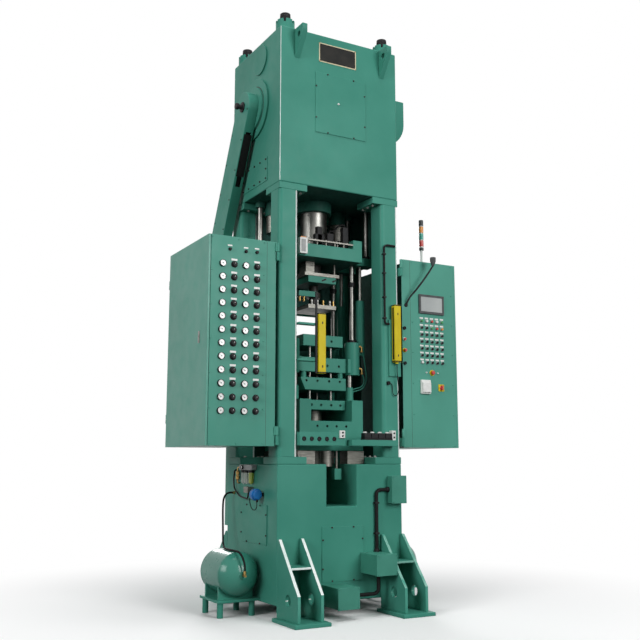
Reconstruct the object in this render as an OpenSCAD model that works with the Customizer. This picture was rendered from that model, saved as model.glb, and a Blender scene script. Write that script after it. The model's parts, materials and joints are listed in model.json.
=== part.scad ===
// Powder metallurgy press: four-column frame, crank-driven ram and withdrawal die set.
// Origin on the floor under the press axis, +Z up, the front faces -Y.

/* [Body] */
// Width of base and crown
body_w = 1430; // [1300:10:1600]
// Depth of base and crown
body_d = 1190; // [1150:10:1300]
// Height of the base's top face above the floor
base_top = 1445; // [1400:5:1500]
// Height of the crown's underside above the floor
crown_bottom = 4270; // [4230:5:4400]
// Height of the crown's top face above the floor
crown_top = 5960; // [5850:5:6200]

/* [Base] */
// Gap between the floor and the base's underside
base_gap = 130; // [100:5:160]
// Width of the front notch and the well behind it
notch_w = 345; // [320:5:400]
// Height of the front notch
notch_h = 410; // [380:5:450]
// Depth of the well from the front face
well_d = 760; // [740:5:850]
// Thickness of the bolted inspection covers
cover_t = 8; // [5:1:12]

/* [Foot brackets] */
// Height of a gusset's top above the floor
gusset_top = 745; // [650:5:800]
// Reach of a gusset from the base's face
gusset_reach = 430; // [350:5:500]
// Thickness of a gusset
gusset_t = 30; // [20:1:40]
// Clear distance between the two gussets of a bracket
gusset_gap = 210; // [180:5:240]
// Height of the upright toe of a gusset above the floor
gusset_toe = 272; // [240:2:320]
// Flat at the top of a gusset
gusset_flat = 40; // [20:5:60]
// Radius of the round hole in a gusset
gusset_hole_r = 52; // [35:1:60]
// Height of the gusset hole above the floor
gusset_hole_z = 213; // [190:1:215]
// Distance of the gusset hole from the base's face
gusset_hole_out = 235; // [200:5:270]
// Height of the shelf's underside above the floor
shelf_z = 480; // [400:5:520]
// Thickness of the shelf
shelf_t = 20; // [12:1:30]
// Thickness of a foot plate
foot_t = 35; // [25:1:50]
// How far a foot plate stands out past its gussets
foot_margin = 50; // [30:5:60]

/* [Columns] */
// Width of a column
column_w = 217; // [190:1:240]
// Depth of a column
column_d = 230; // [200:1:240]
// Corner radius of a column
column_corner = 45; // [30:1:60]
// Width and depth of the flange pads at a column's ends
pad_w = 318; // [290:1:330]
// Height of a flange pad
pad_h = 70; // [40:5:90]
// Radius of a tie rod nut
nut_r = 100; // [80:1:108]
// Height of a tie rod nut
nut_h = 105; // [80:5:130]
// Radius of a tie rod's end
tie_r = 55; // [40:1:65]
// Height of a tie rod's end above its nut
tie_h = 85; // [50:5:120]

/* [Crown] */
// Width of the front inspection cover
crown_cover_w = 614; // [500:2:700]
// Height of the front inspection cover
crown_cover_h = 666; // [500:2:750]
// Distance of the front inspection cover's middle below the crown's top
crown_cover_drop = 760; // [700:5:850]
// Distance of the crank axis below the crown's top
crank_drop = 725; // [660:5:800]
// Radius of the left bearing flange
ring_r = 330; // [300:1:360]
// Radius of the upper access disc on the left
disc_r = 165; // [120:1:180]
// Radius of the right bearing cap
cap_r = 200; // [150:1:240]
// How far the right bearing cap stands out
cap_t = 120; // [80:5:150]
// Thickness of a lifting lug
lug_t = 60; // [40:1:80]
// Reach of a lifting lug from the crown
lug_reach = 170; // [120:5:220]
// Height of a lifting lug
lug_h = 320; // [260:5:360]
// Radius of a lifting lug's hole
lug_hole_r = 30; // [20:1:35]
// Distance of a lifting lug from the crown's side
lug_inset = 195; // [150:5:240]

/* [Drive] */
// Gap between the crown's side and the belt guard
guard_gap = 45; // [35:1:70]
// Thickness of the belt guard
guard_t = 110; // [90:1:130]
// Half width of the belt guard
guard_r = 165; // [155:1:170]
// Sheet thickness of the belt guard
guard_wall = 6; // [3:0.5:8]
// Width of the open slot in the guard's front side
guard_slot_w = 56; // [40:1:70]
// Outer radius of the drive belt's loop at a pulley
belt_r = 138; // [120:1:145]
// Thickness of the drive belt
belt_t = 14; // [8:1:20]
// Width of the drive belt
belt_w = 60; // [40:1:70]
// Distance of the motor axis behind the press axis
motor_y = 900; // [880:5:905]
// Height of the motor axis above the floor
motor_z = 3470; // [3400:5:3500]
// Radius of the motor's body
motor_r = 150; // [120:1:160]
// Length of the motor's body
motor_len = 470; // [400:5:520]
// Height of the motor axis above its feet
motor_foot = 190; // [180:1:200]

/* [Ram] */
// Radius of the ram
ram_r = 145; // [120:1:160]
// Length of the ram inside the crown
ram_inside = 350; // [300:10:500]
// Width of the crosshead
crosshead_w = 760; // [740:5:780]
// Depth of the crosshead
crosshead_d = 800; // [700:5:820]
// Height of the crosshead's underside at the top of the stroke
crosshead_z = 3580; // [3570:5:3600]
// Height of the crosshead
crosshead_h = 140; // [120:5:160]
// Rise of the end post above the crosshead
post_rise = 98; // [60:1:110]
// Distance of the upper guide rods from the press axis, sideways
guide_x = 555; // [540:1:570]
// Distance of the guide rods from the press axis, front to back
guide_y = 200; // [190:1:220]
// Radius of the upper guide rods
guide_r = 27; // [20:1:35]
// Radius of the lower guide rods
lower_rod_r = 25; // [18:1:30]
// Radius of the thin cylinder rods
thin_rod_r = 18; // [12:1:22]
// Distance of a balance cylinder from the press axis, sideways
balance_x = 402; // [401:1:404]
// Distance of a balance cylinder behind the press axis
balance_y = 170; // [160:1:175]
// Radius of a balance cylinder
balance_r = 85; // [70:1:90]
// Length of a balance cylinder with its flange
balance_h = 340; // [320:5:345]
// Radius of a balance cylinder's rod
balance_rod_r = 20; // [14:1:24]
// Radial gap between a sliding rod and its bore
slide_fit = 0.3; // [0.2:0.1:0.6]

/* [Upper tool] */
// Width of the upper clamp plate
clamp_w = 425; // [380:5:460]
// Width of the upper platen
upper_platen_w = 340; // [300:5:380]
// Depth of the upper tool's plates
upper_tool_d = 400; // [360:5:440]
// Height of the upper platen
upper_platen_h = 70; // [60:5:90]
// Width of the upper punch plate
punch_plate_w = 340; // [280:5:360]
// Radius of the upper punch holder
punch_r = 50; // [35:1:70]
// Height of the upper punch plate's underside at the top of the stroke
punch_z = 3075; // [3065:5:3100]
// Thickness of the upper punch plate
punch_plate_t = 45; // [35:5:60]

/* [Tool stack] */
// Height of the spacer blocks on the base
spacer_h = 135; // [100:5:160]
// Width of a spacer block
spacer_w = 200; // [160:5:220]
// Depth of a spacer block
spacer_d = 160; // [120:5:170]
// Width of the bolster
bolster_w = 750; // [740:5:790]
// Depth of the bolster
bolster_d = 800; // [740:5:810]
// Height of the bolster plate
bolster_h = 300; // [250:5:310]
// Width of an upright on the bolster
upright_w = 135; // [100:5:135]
// Height of an upright on the bolster
upright_h = 220; // [180:5:240]
// Radius of a pillar's foot on its upright
pillar_foot_r = 42; // [36:1:43]
// Height of a pillar's foot
pillar_foot_h = 150; // [100:5:160]
// Radius of a pillar between upright and side cylinder
pillar_r = 30; // [20:1:35]
// Distance of a pillar from the press axis
pillar_x = 330; // [320:1:335]
// Radius of a lower side cylinder
cylinder_r = 80; // [70:1:85]
// Distance of a lower side cylinder from the press axis
cylinder_x = 365; // [360:1:375]
// Height of a lower side cylinder
cylinder_h = 350; // [300:5:360]
// Height of a lower side cylinder's underside above the floor
cylinder_z = 2380; // [2350:5:2390]
// Radius of a thin side cylinder
thin_cyl_r = 50; // [40:1:52]
// Distance of a thin side cylinder from the press axis
thin_cyl_x = 470; // [465:1:480]
// Height of a thin side cylinder's top above the floor
thin_cyl_top = 3200; // [3100:5:3250]
// Width of the lower platen
platen_w = 560; // [540:5:570]
// Depth of the platens and plates of the tool stack
platen_d = 440; // [400:5:460]
// Height of the lower platen's underside above the floor
platen_z = 2400; // [2395:5:2410]
// Thickness of the lower platen
platen_t = 150; // [120:5:155]
// Width of the punch platen
punch_platen_w = 550; // [500:5:560]
// Thickness of the punch platen
punch_platen_t = 130; // [110:5:135]
// Height of the bosses that hang the punch platen
boss_h = 60; // [40:5:65]

/* [Die set] */
// Width of the die plate
die_w = 480; // [460:5:540]
// Thickness of the die plate
die_t = 120; // [90:5:130]
// Height of the die plate's underside at rest
die_z = 2670; // [2650:5:2680]
// Radius of the die's hole
die_hole_r = 40; // [25:1:60]
// Radius of a pull rod
pull_r = 15; // [10:1:20]
// Distance of a pull rod from the press axis, sideways
pull_x = 127; // [100:1:135]
// Distance of a pull rod from the press axis, front to back
pull_y = 150; // [120:1:170]
// Width of the yoke plate
yoke_w = 460; // [400:5:465]
// Depth of the yoke plate
yoke_d = 560; // [440:5:600]
// Thickness of the yoke plate
yoke_t = 100; // [70:5:105]
// Height of the yoke plate's underside at rest
yoke_z = 2000; // [1990:5:2020]
// Radius of the lower ram
lower_ram_r = 90; // [70:1:95]
// Radius of the coupling on the lower ram
coupling_r = 120; // [110:1:130]
// Height of the coupling on the lower ram
coupling_h = 110; // [80:5:130]
// Height of the coupling's underside at rest
coupling_z = 1290; // [1250:5:1300]
// Height of the lower ram's end at rest
lower_ram_z = 1150; // [1140:5:1200]

/* [Front trays] */
// Height of the trays' underside above the floor
tray_z = 1625; // [1600:5:1650]
// Height of a tray
tray_h = 130; // [100:5:140]
// Depth of a tray
tray_d = 105; // [95:5:120]
// Radius of a port in the left tray
port_r = 22; // [12:1:26]
// Height of the valve manifold
manifold_h = 70; // [50:5:80]
// Radius of the core rod cylinder
core_r = 65; // [50:1:75]

/* [Cabinets] */
// Width of a cabinet
cab_w = 605; // [560:5:700]
// Gap between the body's side and a cabinet's inner wall
cab_gap = 145; // [120:5:180]
// Distance of the front panel's face ahead of the press axis
cab_front = 600; // [598:1:640]
// Depth of a cabinet
cab_d = 1085; // [900:5:1100]
// Height of a cabinet's underside above the floor
cab_z = 1615; // [1560:5:1650]
// Height of a cabinet
cab_h = 2010; // [1900:5:2050]
// Sheet thickness of a cabinet
cab_wall = 6; // [3:0.5:8]
// Thickness of the side door
door_t = 20; // [15:1:30]
// Gap between the side door and the cabinet
door_gap = 5; // [5:0.5:8]
// Gap between the body's side and the cabinet hinge axis
hinge_gap = 20; // [18:1:23]
// Radius of a hinge barrel
barrel_r = 15; // [12:1:16]
// Radius of a hinge pin
pin_r = 8; // [5:1:10]
// Height of a hinge
hinge_h = 180; // [120:5:220]

/* [Left panel] */
// Rows of gauges and knobs
gauge_rows = 12; // [8:1:12]
// Spacing of the rows
gauge_step_z = 128; // [90:1:130]
// Spacing of gauges and knobs along a row
gauge_step_x = 121; // [100:1:130]
// Radius of a gauge
gauge_r = 34; // [25:1:40]
// How far a gauge stands out
gauge_t = 24; // [15:1:30]
// Radius of a knob
knob_r = 22; // [15:1:28]
// How far a knob stands out
knob_t = 32; // [20:1:40]

/* [Right panel] */
// Width of the screen
screen_w = 330; // [250:5:360]
// Height of the screen
screen_h = 210; // [160:5:240]
// How far the screen stands out
screen_t = 18; // [8:1:30]
// Rows of push buttons
button_rows = 7; // [4:1:7]
// Push buttons in a row
button_cols = 5; // [3:1:5]
// Spacing of the push buttons sideways
button_step_x = 67; // [50:1:75]
// Spacing of the rows of push buttons
button_step_z = 75; // [55:1:80]
// Radius of a push button
button_r = 17; // [12:1:22]
// How far a push button stands out
button_t = 22; // [12:1:30]
// Radius of the stack light
stack_r = 26; // [20:1:35]
// Height of the stack light's lamps
stack_h = 350; // [250:10:400]
// Height of the stack light's pole
pole_h = 200; // [100:10:300]

/* [Air tanks] */
// Radius of an air tank
tank_r = 210; // [180:1:215]
// Length of an air tank's straight part
tank_straight = 440; // [350:5:600]
// Height of a tank's dished end
tank_cap = 120; // [80:5:150]
// Gap between the base's side and a tank
tank_gap = 20; // [10:5:80]
// Height of a tank's axis above the floor
tank_z = 400; // [390:5:440]
// Thickness of a tank stand's plate
stand_t = 25; // [15:1:35]
// Height of a tank stand's feet
stand_foot_h = 140; // [110:5:150]

/* [Light curtains] */
// Height of a light curtain
curtain_h = 610; // [500:5:700]
// Width of a light curtain
curtain_w = 80; // [60:1:100]
// Depth of a light curtain
curtain_d = 60; // [40:1:80]
// Height of the left light curtain's lower end above the floor
curtain_left_z = 2335; // [2250:5:2400]
// Height of the right light curtain's lower end above the floor
curtain_right_z = 2495; // [2450:5:2500]

/* [Base fittings] */
// Width of the upper junction box
upper_box_w = 170; // [120:5:175]
// Height of the upper junction box
upper_box_h = 270; // [200:5:300]
// Depth of the upper junction box
upper_box_d = 90; // [60:5:120]
// Width of a lower junction box
lower_box_w = 230; // [180:5:240]
// Height of a lower junction box
lower_box_h = 195; // [150:5:200]
// Depth of a lower junction box
lower_box_d = 310; // [200:5:330]
// Radius of a conduit
conduit_r = 14; // [8:1:20]
// Radius of an air service bowl
bowl_r = 26; // [20:1:32]
// Height of an air service bowl
bowl_h = 140; // [100:5:160]
// Radius of the pressure switch
switch_r = 58; // [40:1:65]
// Width of the cable duct
duct_w = 120; // [80:5:150]
// Depth of the cable duct
duct_d = 105; // [80:5:130]

/* [Hidden] */
$fn = 64;
overrun = 2;
bend_share = 1.3;
front = -body_d / 2;
side = body_w / 2;
crown_cover_z = crown_top - crown_cover_drop;
crank_z = crown_top - crank_drop;
lug_x = side - lug_inset;
guard_x = side + guard_gap;
cab_inner = side + cab_gap;
cab_outer = cab_inner + cab_w;
hinge_x = side + hinge_gap;
tank_x = side + tank_gap + tank_r;
well_floor = base_top - notch_h;
column_x = side - column_w / 2;
column_y = body_d / 2 - column_d / 2;
column_h = crown_bottom - base_top;
column_in = side - column_w;
bore_spare = 60;
ram_bore_h = ram_inside + bore_spare;
gusset_slope_share = (gusset_top - shelf_z - shelf_t) / (gusset_top - gusset_toe);
shelf_reach = gusset_flat + gusset_slope_share * (gusset_reach - gusset_flat);
gusset_inner = side - gusset_t - gusset_gap - gusset_t;
shelf_top = motor_z - motor_foot;
guard_span = sqrt(motor_y * motor_y + (crank_z - motor_z) * (crank_z - motor_z));
guard_tilt = atan2(motor_y, crank_z - motor_z);
ring_t = guard_gap;
ring_hub_r_share = 0.72;
shaft_r = 50;
shaft_hole_r = 60;
slot_start_share = 0.12;
slot_end_share = 0.42;
encoder_flange_r = 56;
encoder_flange_t = 15;
encoder_r = 38;
encoder_len = 70;
bracket_plate_t = 30;
bracket_plate_h = 150;
motor_shelf_t = 25;
motor_shelf_in = 240;
motor_clear = 15;
cowl_lip = 14;
rib_n = 24;
rib_t = 6;
rib_h = 10;
rib_inset = 30;
cowl_r = motor_r + cowl_lip;
cowl_share = 0.16;
terminal_w = 130;
terminal_h = 60;
foot_w = 60;
foot_span_share = 0.62;
crosshead_top = crosshead_z + crosshead_h;
ear_w = 160;
ear_margin = 65;
ear_end = guide_x + ear_margin;
ear_drop = 50;
ear_top = crosshead_top - ear_drop;
post_w = 112;
post_d = 120;
switch_box_w = 90;
switch_box_d = 45;
switch_box_h = 180;
switch_box_out = 20;
switch_box_drop = 125;
rail_d = 40;
rail_h = 17;
rail_lift = 35;
stud_r = 9;
stud_n = 5;
stud_step = (crosshead_w - post_w) / (stud_n + 1);
guide_inside = 330;
guide_bore_h = guide_inside + bore_spare;
bush_wall = 25;
guide_bush_r = guide_r + bush_wall;
flange_h = 115;
flange_wall = 50;
flange_r = ram_r + flange_wall;
bush_h = 60;
balance_z = crown_bottom - balance_h;
balance_flange_r = 96;
balance_flange_h = 150;
balance_flange_z = crown_bottom - balance_flange_h;
balance_rod_in = 280;
balance_bore_top = balance_z + balance_rod_in + bush_wall;
thin_rod_in = 200;
lower_rod_in = 50;
thin_bore_depth = 420;
lower_bore_depth = 300;
thin_cyl_lap = 130;
clamp_t = 38;
adapter_h = 115;
upper_platen_z = crosshead_z - adapter_h - clamp_t - upper_platen_h;
adapter_r = 80;
adapter_x = 95;
adapter_w = 105;
adapter_d = 150;
tie_bar_r = 12;
tie_bar_x = 165;
tie_bar_y = 170;
punch_collar_r = 75;
punch_collar_z = 3218;
punch_collar_h = 60;
punch_arm_x = 230;
punch_arm_y = 100;
punch_arm_d = 80;
spacer_gap = 7;
spacer_x = side - pad_w - spacer_gap - spacer_w / 2;
spacer_inset = 10;
spacer_y = bolster_d / 2 - spacer_d / 2 - spacer_inset;
bolster_z = base_top + spacer_h;
bolster_top = bolster_z + bolster_h;
upright_top = bolster_top + upright_h;
cylinder_top = cylinder_z + cylinder_h;
arm_w = 120;
punch_platen_z = platen_z - boss_h - punch_platen_t;
boss_x_share = 0.4;
boss_y = 185;
punch_taper = 60;
die_hole_depth_share = 0.5;
core_x = -20;
core_inset = 90;
core_y = -bolster_d / 2 + core_inset;
core_h = 160;
rod_x = 70;
rod_inset = 30;
rod_y = -bolster_d / 2 + rod_inset;
rod_r = 12;
block_w = 80;
block_d = 60;
tray_end = 20;
tray_out = 45;
tray_front = front - tray_out;
tray_lip = 12;
port_n = 5;
port_step = 85;
port_inset = 45;
port_depth = 40;
manifold_x = 60;
manifold_lap = 114;
manifold_end = column_in + manifold_lap;
valve_inset = 154;
valve_x = manifold_x + valve_inset;
valve_end_inset = 60;
knob_n = 4;
knob_inset = 27;
knob_step = 89;
manifold_knob_r = 16;
manifold_knob_t = 14;
panel_gap = 15;
shell_x = cab_outer - door_t - door_gap;
cab_back = cab_d - cab_front;
cab_top = cab_z + cab_h;
hinge_inset = 10;
hinge_low = cab_z + hinge_inset;
hinge_high = cab_top - hinge_h - hinge_inset;
hinge_split = 4;
hinge_half = (hinge_h - hinge_split) / 2;
leaf_t = 10;
hinge_y = -cab_front - barrel_r;
door_hinge_x = cab_outer - door_t / 2;
door_barrel_r = 10;
door_pin_r = 4;
door_barrel_gap = 2;
door_hinge_y = cab_back + door_barrel_r + door_barrel_gap;
door_hinge_h = 90;
door_split = 2;
door_half = (door_hinge_h - door_split) / 2;
door_hinge_shares = [0.12, 0.82];
door_wall = 4;
gauge_in_x = 145;
gauge_drop = 275;
bezel_t = 8;
step_share = 0.8;
screen_in_x = 105;
screen_drop = 365;
button_in_x = 140;
button_drop = 655;
stack_inset = 265;
stack_x = cab_outer - stack_inset;
stack_y = -350;
lamp_r = 7;
lamp_base_r = 20;
lamp_base_t = 14;
lamp_head_r = 32;
lamp_head_len = 90;
lamp_inset = 60;
lamp_x = cab_inner - lamp_inset;
lamp_drop = 500;
lamp_reach = [270, -128, 435];
lamp_x_shares = [0, 0.055, 0.3, 0.78, 1];
lamp_y_shares = [0, 0.26, 0.65, 0.92, 1];
lamp_z_shares = [0, 0.15, 0.38, 0.79, 1];
lamp_points = [for (i = [0 : len(lamp_x_shares) - 1]) [lamp_x + lamp_reach[0] * lamp_x_shares[i],
    -cab_front - lamp_base_t / 2 + lamp_reach[1] * lamp_y_shares[i],
    cab_top - lamp_drop + lamp_reach[2] * lamp_z_shares[i]]];
tank_dome_r = (tank_r * tank_r + tank_cap * tank_cap) / (2 * tank_cap);
tank_boss_r = 34;
tank_boss_t = 12;
tank_front = -tank_straight / 2 - tank_cap - tank_boss_t;
saddle_t = 30;
saddle_y = 160;
saddle_w_share = 0.85;
saddle_z_share = 0.55;
stand_half = 230;
stand_foot_r = 30;
foot_inset = 45;
curtain_left_gap = 208;
curtain_left_x = -column_in + curtain_left_gap;
curtain_right_inset = 30;
curtain_right_x = side - curtain_right_inset - curtain_w;
curtain_arm_t = 20;
arm_z_shares = [0.2, 0.8];
curtain_arm_seat = 15;
curtain_arm_lap_y = column_corner + curtain_arm_seat;
plate_t = 20;
plate_margin = 35;
plate_h = 600;
plate_z = 2350;
upper_box_inset = 8;
upper_box_x = side - upper_box_inset - upper_box_w;
upper_box_z = 1055;
middle_box_gap = 10;
middle_box_x = gusset_inner - middle_box_gap - lower_box_w;
middle_box_z = 385;
low_box_x = -226;
low_box_z = 102;
conduit_out = 22;
column_pipe_r = 10;
column_pipe_inset = 20;
column_pipe_x = column_in + column_pipe_inset;
column_pipe_top = 3750;
column_pipe_z = 2900;
header_t = 60;
header_h = 55;
header_drop = 5;
header_z = base_top - header_drop - header_h;
header_y = -130;
header_len = 300;
bowl_ys = [120, 45, -60];
switch_y = -240;
switch_z = 1150;
switch_len = 80;
switch_stem_r = 15;
pipe_r = 8;
pipe_y = 270;
pipe_drop = 160;
fitting_r = 14;
fitting_len = 44;
duct_z = 800;
duct_inset = 15;
cover_front_w = 470;
cover_front_h = 525;
cover_front_x = 5;
cover_front_z = 317;
cover_side_w = 600;
cover_side_h = 380;
cover_side_y = -80;
cover_side_z = 670;
lug_shares = [0.28, 0.5];
slot_n = 6;
nut_slot_w = 26;
nut_slot_h = 38;
disc_y = -110;
disc_drop = 195;
disc_z = crown_top - disc_drop;
disc_t = 15;
lug_drop = 10;
rear_guard_t = 6;
rear_guard_y = 475;
rear_window_drop = 10;
gland_len = 25;
gland_r = 16;
small_gland_len = 18;
small_gland_r = 9;
plug_w = 30;
plug_d = 26;
plug_h = 36;
hose_facets = 10;
hose_side = [0.3, 0.2, 1];
tank_hose_r = 10;
tank_hose_route = [[-740, 400, 1150], [-770, 400, 1150], [-800, 398, 1144], [-826, 394, 1126],
    [-845, 388, 1096], [-856, 380, 1055], [-863, 369, 1000], [-869, 354, 930], [-876, 333, 860],
    [-886, 305, 790], [-900, 268, 725], [-918, 222, 675], [-938, 165, 644], [-957, 100, 628],
    [-972, 30, 621], [-979, -50, 619], [-980, -130, 619], [-977, -205, 619], [-972, -265, 616],
    [-965, -312, 600], [-957, -347, 568], [-950, -368, 530], [-946, -378, 492], [-945, -380, 460],
    [-945, -380, 440]];
switch_cable_r = 4.5;
switch_cable_route = [[-790, -300, 1078], [-790, -300, 1064], [-790, -300, 1050], [-790, -296, 1034],
    [-790, -286, 1019], [-790, -270, 1008], [-790, -250, 1002], [-790, -228, 1001], [-790, -206, 1005],
    [-790, -185, 1014], [-789, -165, 1027], [-787, -146, 1044], [-784, -128, 1064], [-779, -110, 1084],
    [-772, -94, 1102], [-762, -82, 1114], [-750, -76, 1119], [-740, -75, 1120], [-733, -75, 1120]];
curtain_cable_r = 4;
curtain_cable_route = [[645, -645, 2480], [645, -645, 2462], [645, -645, 2440], [646, -644, 2405],
    [650, -642, 2365], [656, -639, 2325], [663, -635, 2285], [669, -631, 2245], [672, -627, 2210],
    [669, -622, 2180], [658, -618, 2157], [641, -615, 2148], [624, -612, 2155], [613, -610, 2176],
    [609, -609, 2203], [609, -608, 2228], [607, -608, 2246], [601, -608, 2263], [592, -608, 2274],
    [583, -608, 2278], [575, -608, 2278]];

paint = [0.30, 0.58, 0.50];
steel = [0.72, 0.72, 0.72];
black = [0.08, 0.08, 0.08];

// A block between two corners
module block(low, high) {
    translate(low)
        cube(high - low);
}

// Children in both mirrored places across the press's middle plane
module both_sides() {
    for (turn = [0, 1])
        mirror([turn, 0, 0])
            children();
}

// Children in the four mirrored places about the press axis
module four_places() {
    for (turn = [0, 1])
        mirror([0, turn, 0])
            both_sides()
                children();
}

// An upright rod
module rod(r, place, low, high) {
    translate([place[0], place[1], low])
        cylinder(r = r, h = high - low);
}

// A round bar along X from low to high
module bar_x(r, low, high, y, z) {
    translate([low, y, z])
        rotate([0, 90, 0])
            cylinder(r = r, h = high - low);
}

// A round bar along Y from low to high
module bar_y(r, x, low, high, z) {
    translate([x, low, z])
        rotate([-90, 0, 0])
            cylinder(r = r, h = high - low);
}

// A flat profile drawn in Y and Z, given a thickness along X
module side_profile(x, t) {
    translate([x, 0, 0])
        rotate([90, 0, 90])
            linear_extrude(t)
                children();
}

// A post with rounded upright edges
module round_post(w, d, h, r) {
    translate([-w / 2 + r, -d / 2, 0])
        cube([w - r - r, d, h]);
    translate([-w / 2, -d / 2 + r, 0])
        cube([w, d - r - r, h]);
    for (x = [-1, 1])
        for (y = [-1, 1])
            translate([x * (w / 2 - r), y * (d / 2 - r), 0])
                cylinder(r = r, h = h);
}

// A bent tube with a ball at each bend
module bent_tube(points, r) {
    for (i = [0 : len(points) - 2]) {
        run = points[i + 1] - points[i];
        translate(points[i])
            rotate([0, acos(run[2] / norm(run)), atan2(run[1], run[0])])
                cylinder(r = r, h = norm(run));
        if (i > 0)
            translate(points[i])
                sphere(r = r * bend_share);
    }
}

// Unit vector along v
function unit(v) = v / norm(v);

// Direction of a route at each of its points
function headings(points) = [for (i = [0 : len(points) - 1])
    unit(points[min(i + 1, len(points) - 1)] - points[max(i - 1, 0)])];

// A side direction carried along a route without twist
function carried(dirs, from, i = 0) = i == len(dirs) ? [] :
    let (next = unit(from - (from * dirs[i]) * dirs[i]))
    concat([next], carried(dirs, next, i + 1));

// A closed tube along a route
module hose(points, r) {
    n = hose_facets;
    last = len(points) - 1;
    dirs = headings(points);
    sides = carried(dirs, hose_side);
    rings = [for (i = [0 : last]) for (k = [0 : n - 1])
        points[i] + r * (cos(360 * k / n) * sides[i] + sin(360 * k / n) * cross(dirs[i], sides[i]))];
    walls = [for (i = [0 : last - 1]) for (k = [0 : n - 1]) for (half = [0, 1])
        half == 0 ? [i * n + k, (i + 1) * n + k, (i + 1) * n + (k + 1) % n]
            : [i * n + k, (i + 1) * n + (k + 1) % n, i * n + (k + 1) % n]];
    start = [for (k = [0 : n - 1]) k];
    end = [for (k = [n - 1 : -1 : 0]) last * n + k];
    polyhedron(rings, concat([start], walls, [end]));
}

module base_lower() {
    color(paint)
        block([-side, front, base_gap], [side, -front, well_floor]);
}

module base_cheeks() {
    color(paint)
        both_sides()
            block([notch_w / 2, front, well_floor], [side, front + well_d, base_top]);
}

module base_rear_block() {
    color(paint)
        block([-side, front + well_d, well_floor], [side, -front, base_top]);
}

// Cover on the base's front
module base_cover() {
    block([cover_front_x - cover_front_w / 2, front - cover_t, cover_front_z],
        [cover_front_x + cover_front_w / 2, front, cover_front_z + cover_front_h]);
}

module inspection_covers() {
    color(paint) {
        base_cover();
        block([-crown_cover_w / 2, front - cover_t, crown_cover_z - crown_cover_h / 2],
            [crown_cover_w / 2, front, crown_cover_z + crown_cover_h / 2]);
        both_sides()
            block([side, cover_side_y - cover_side_w / 2, cover_side_z],
                [side + cover_t, cover_side_y + cover_side_w / 2, cover_side_z + cover_side_h]);
    }
}

// One gusset on the front right, its outer face at the given distance from the press axis
module gusset(outer) {
    difference() {
        side_profile(outer - gusset_t, gusset_t)
            polygon([[front, foot_t], [front, gusset_top], [front - gusset_flat, gusset_top],
                [front - gusset_reach, gusset_toe], [front - gusset_reach, foot_t]]);
        bar_x(gusset_hole_r, outer - gusset_t - overrun, outer + overrun,
            front - gusset_hole_out, gusset_hole_z);
    }
}

module bracket_gussets() {
    color(paint)
        four_places() {
            gusset(side);
            gusset(side - gusset_t - gusset_gap);
        }
}

// Foot plates under the gussets and the shelves between them
module foot_plates() {
    color(paint)
        four_places() {
            block([gusset_inner - foot_margin, front - gusset_reach - foot_margin, 0],
                [side + foot_margin, front, foot_t]);
            block([side - gusset_t - gusset_gap, front - shelf_reach, shelf_z],
                [side - gusset_t, front, shelf_z + shelf_t]);
        }
}

module columns() {
    color(paint)
        four_places()
            translate([column_x, column_y, base_top + pad_h])
                round_post(column_w, column_d, column_h - pad_h - pad_h, column_corner);
}

module column_pads() {
    color(paint)
        four_places()
            for (z = [base_top, crown_bottom - pad_h])
                block([side - pad_w, -front - pad_w, z], [side, -front, z + pad_h]);
}

// Sheets between the rear columns, with the feeder's window left open
module rear_guard() {
    color(paint)
        for (span = [[base_top + pad_h, die_z + die_t - rear_window_drop],
                [shelf_top - bracket_plate_h, crown_bottom - pad_h]])
            block([-column_in, rear_guard_y, span[0]], [column_in, rear_guard_y + rear_guard_t, span[1]]);
}

// Slotted nuts on the ends of the tie rods
module tie_nuts() {
    color(paint)
        four_places() {
            difference() {
                rod(nut_r, [column_x, column_y], crown_top, crown_top + nut_h);
                for (i = [0 : slot_n / 2 - 1])
                    translate([column_x, column_y, crown_top + nut_h - nut_slot_h])
                        rotate([0, 0, i * 360 / slot_n])
                            translate([-nut_r - overrun, -nut_slot_w / 2, 0])
                                cube([2 * nut_r + 2 * overrun, nut_slot_w, nut_slot_h + overrun]);
            }
            rod(tie_r, [column_x, column_y], crown_top, crown_top + nut_h + tie_h);
        }
}

module crown() {
    color(paint)
        difference() {
            block([-side, front, crown_bottom], [side, -front, crown_top]);
            rod(ram_r + slide_fit, [0, 0], crown_bottom - overrun, crown_bottom + ram_bore_h);
            four_places()
                rod(guide_r + slide_fit, [guide_x, guide_y], crown_bottom - overrun,
                    crown_bottom + guide_bore_h);
        }
}

module lifting_lugs() {
    color(paint)
        four_places()
            difference() {
                side_profile(lug_x - lug_t / 2, lug_t)
                    polygon([[front, crown_top - lug_drop], [front - lug_reach, crown_top - lug_drop],
                        [front - lug_reach, crown_top - lug_drop - lug_h * lug_shares[0]],
                        [front, crown_top - lug_drop - lug_h]]);
                bar_x(lug_hole_r, lug_x - lug_t / 2 - overrun, lug_x + lug_t / 2 + overrun,
                    front - lug_reach * lug_shares[1], crown_top - lug_drop - lug_h * lug_shares[0]);
            }
}

module bearing_covers() {
    color(paint) {
        difference() {
            union() {
                bar_x(ring_r, -side - ring_t / 2, -side, 0, crank_z);
                bar_x(ring_r * ring_hub_r_share, -guard_x, -side, 0, crank_z);
            }
            bar_x(shaft_hole_r, -guard_x - overrun, -side + overrun, 0, crank_z);
        }
        bar_x(disc_r, -side - disc_t, -side, disc_y, disc_z);
        bar_x(cap_r, side, side + cap_t, 0, crank_z);
    }
}

// Outline of a belt loop of the given radius round crank and motor axes
module belt_outline(r) {
    translate([0, crank_z])
        rotate(guard_tilt) {
            circle(r = r);
            translate([-r, -guard_span])
                square([r + r, guard_span]);
            translate([0, -guard_span])
                circle(r = r);
        }
}

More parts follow.
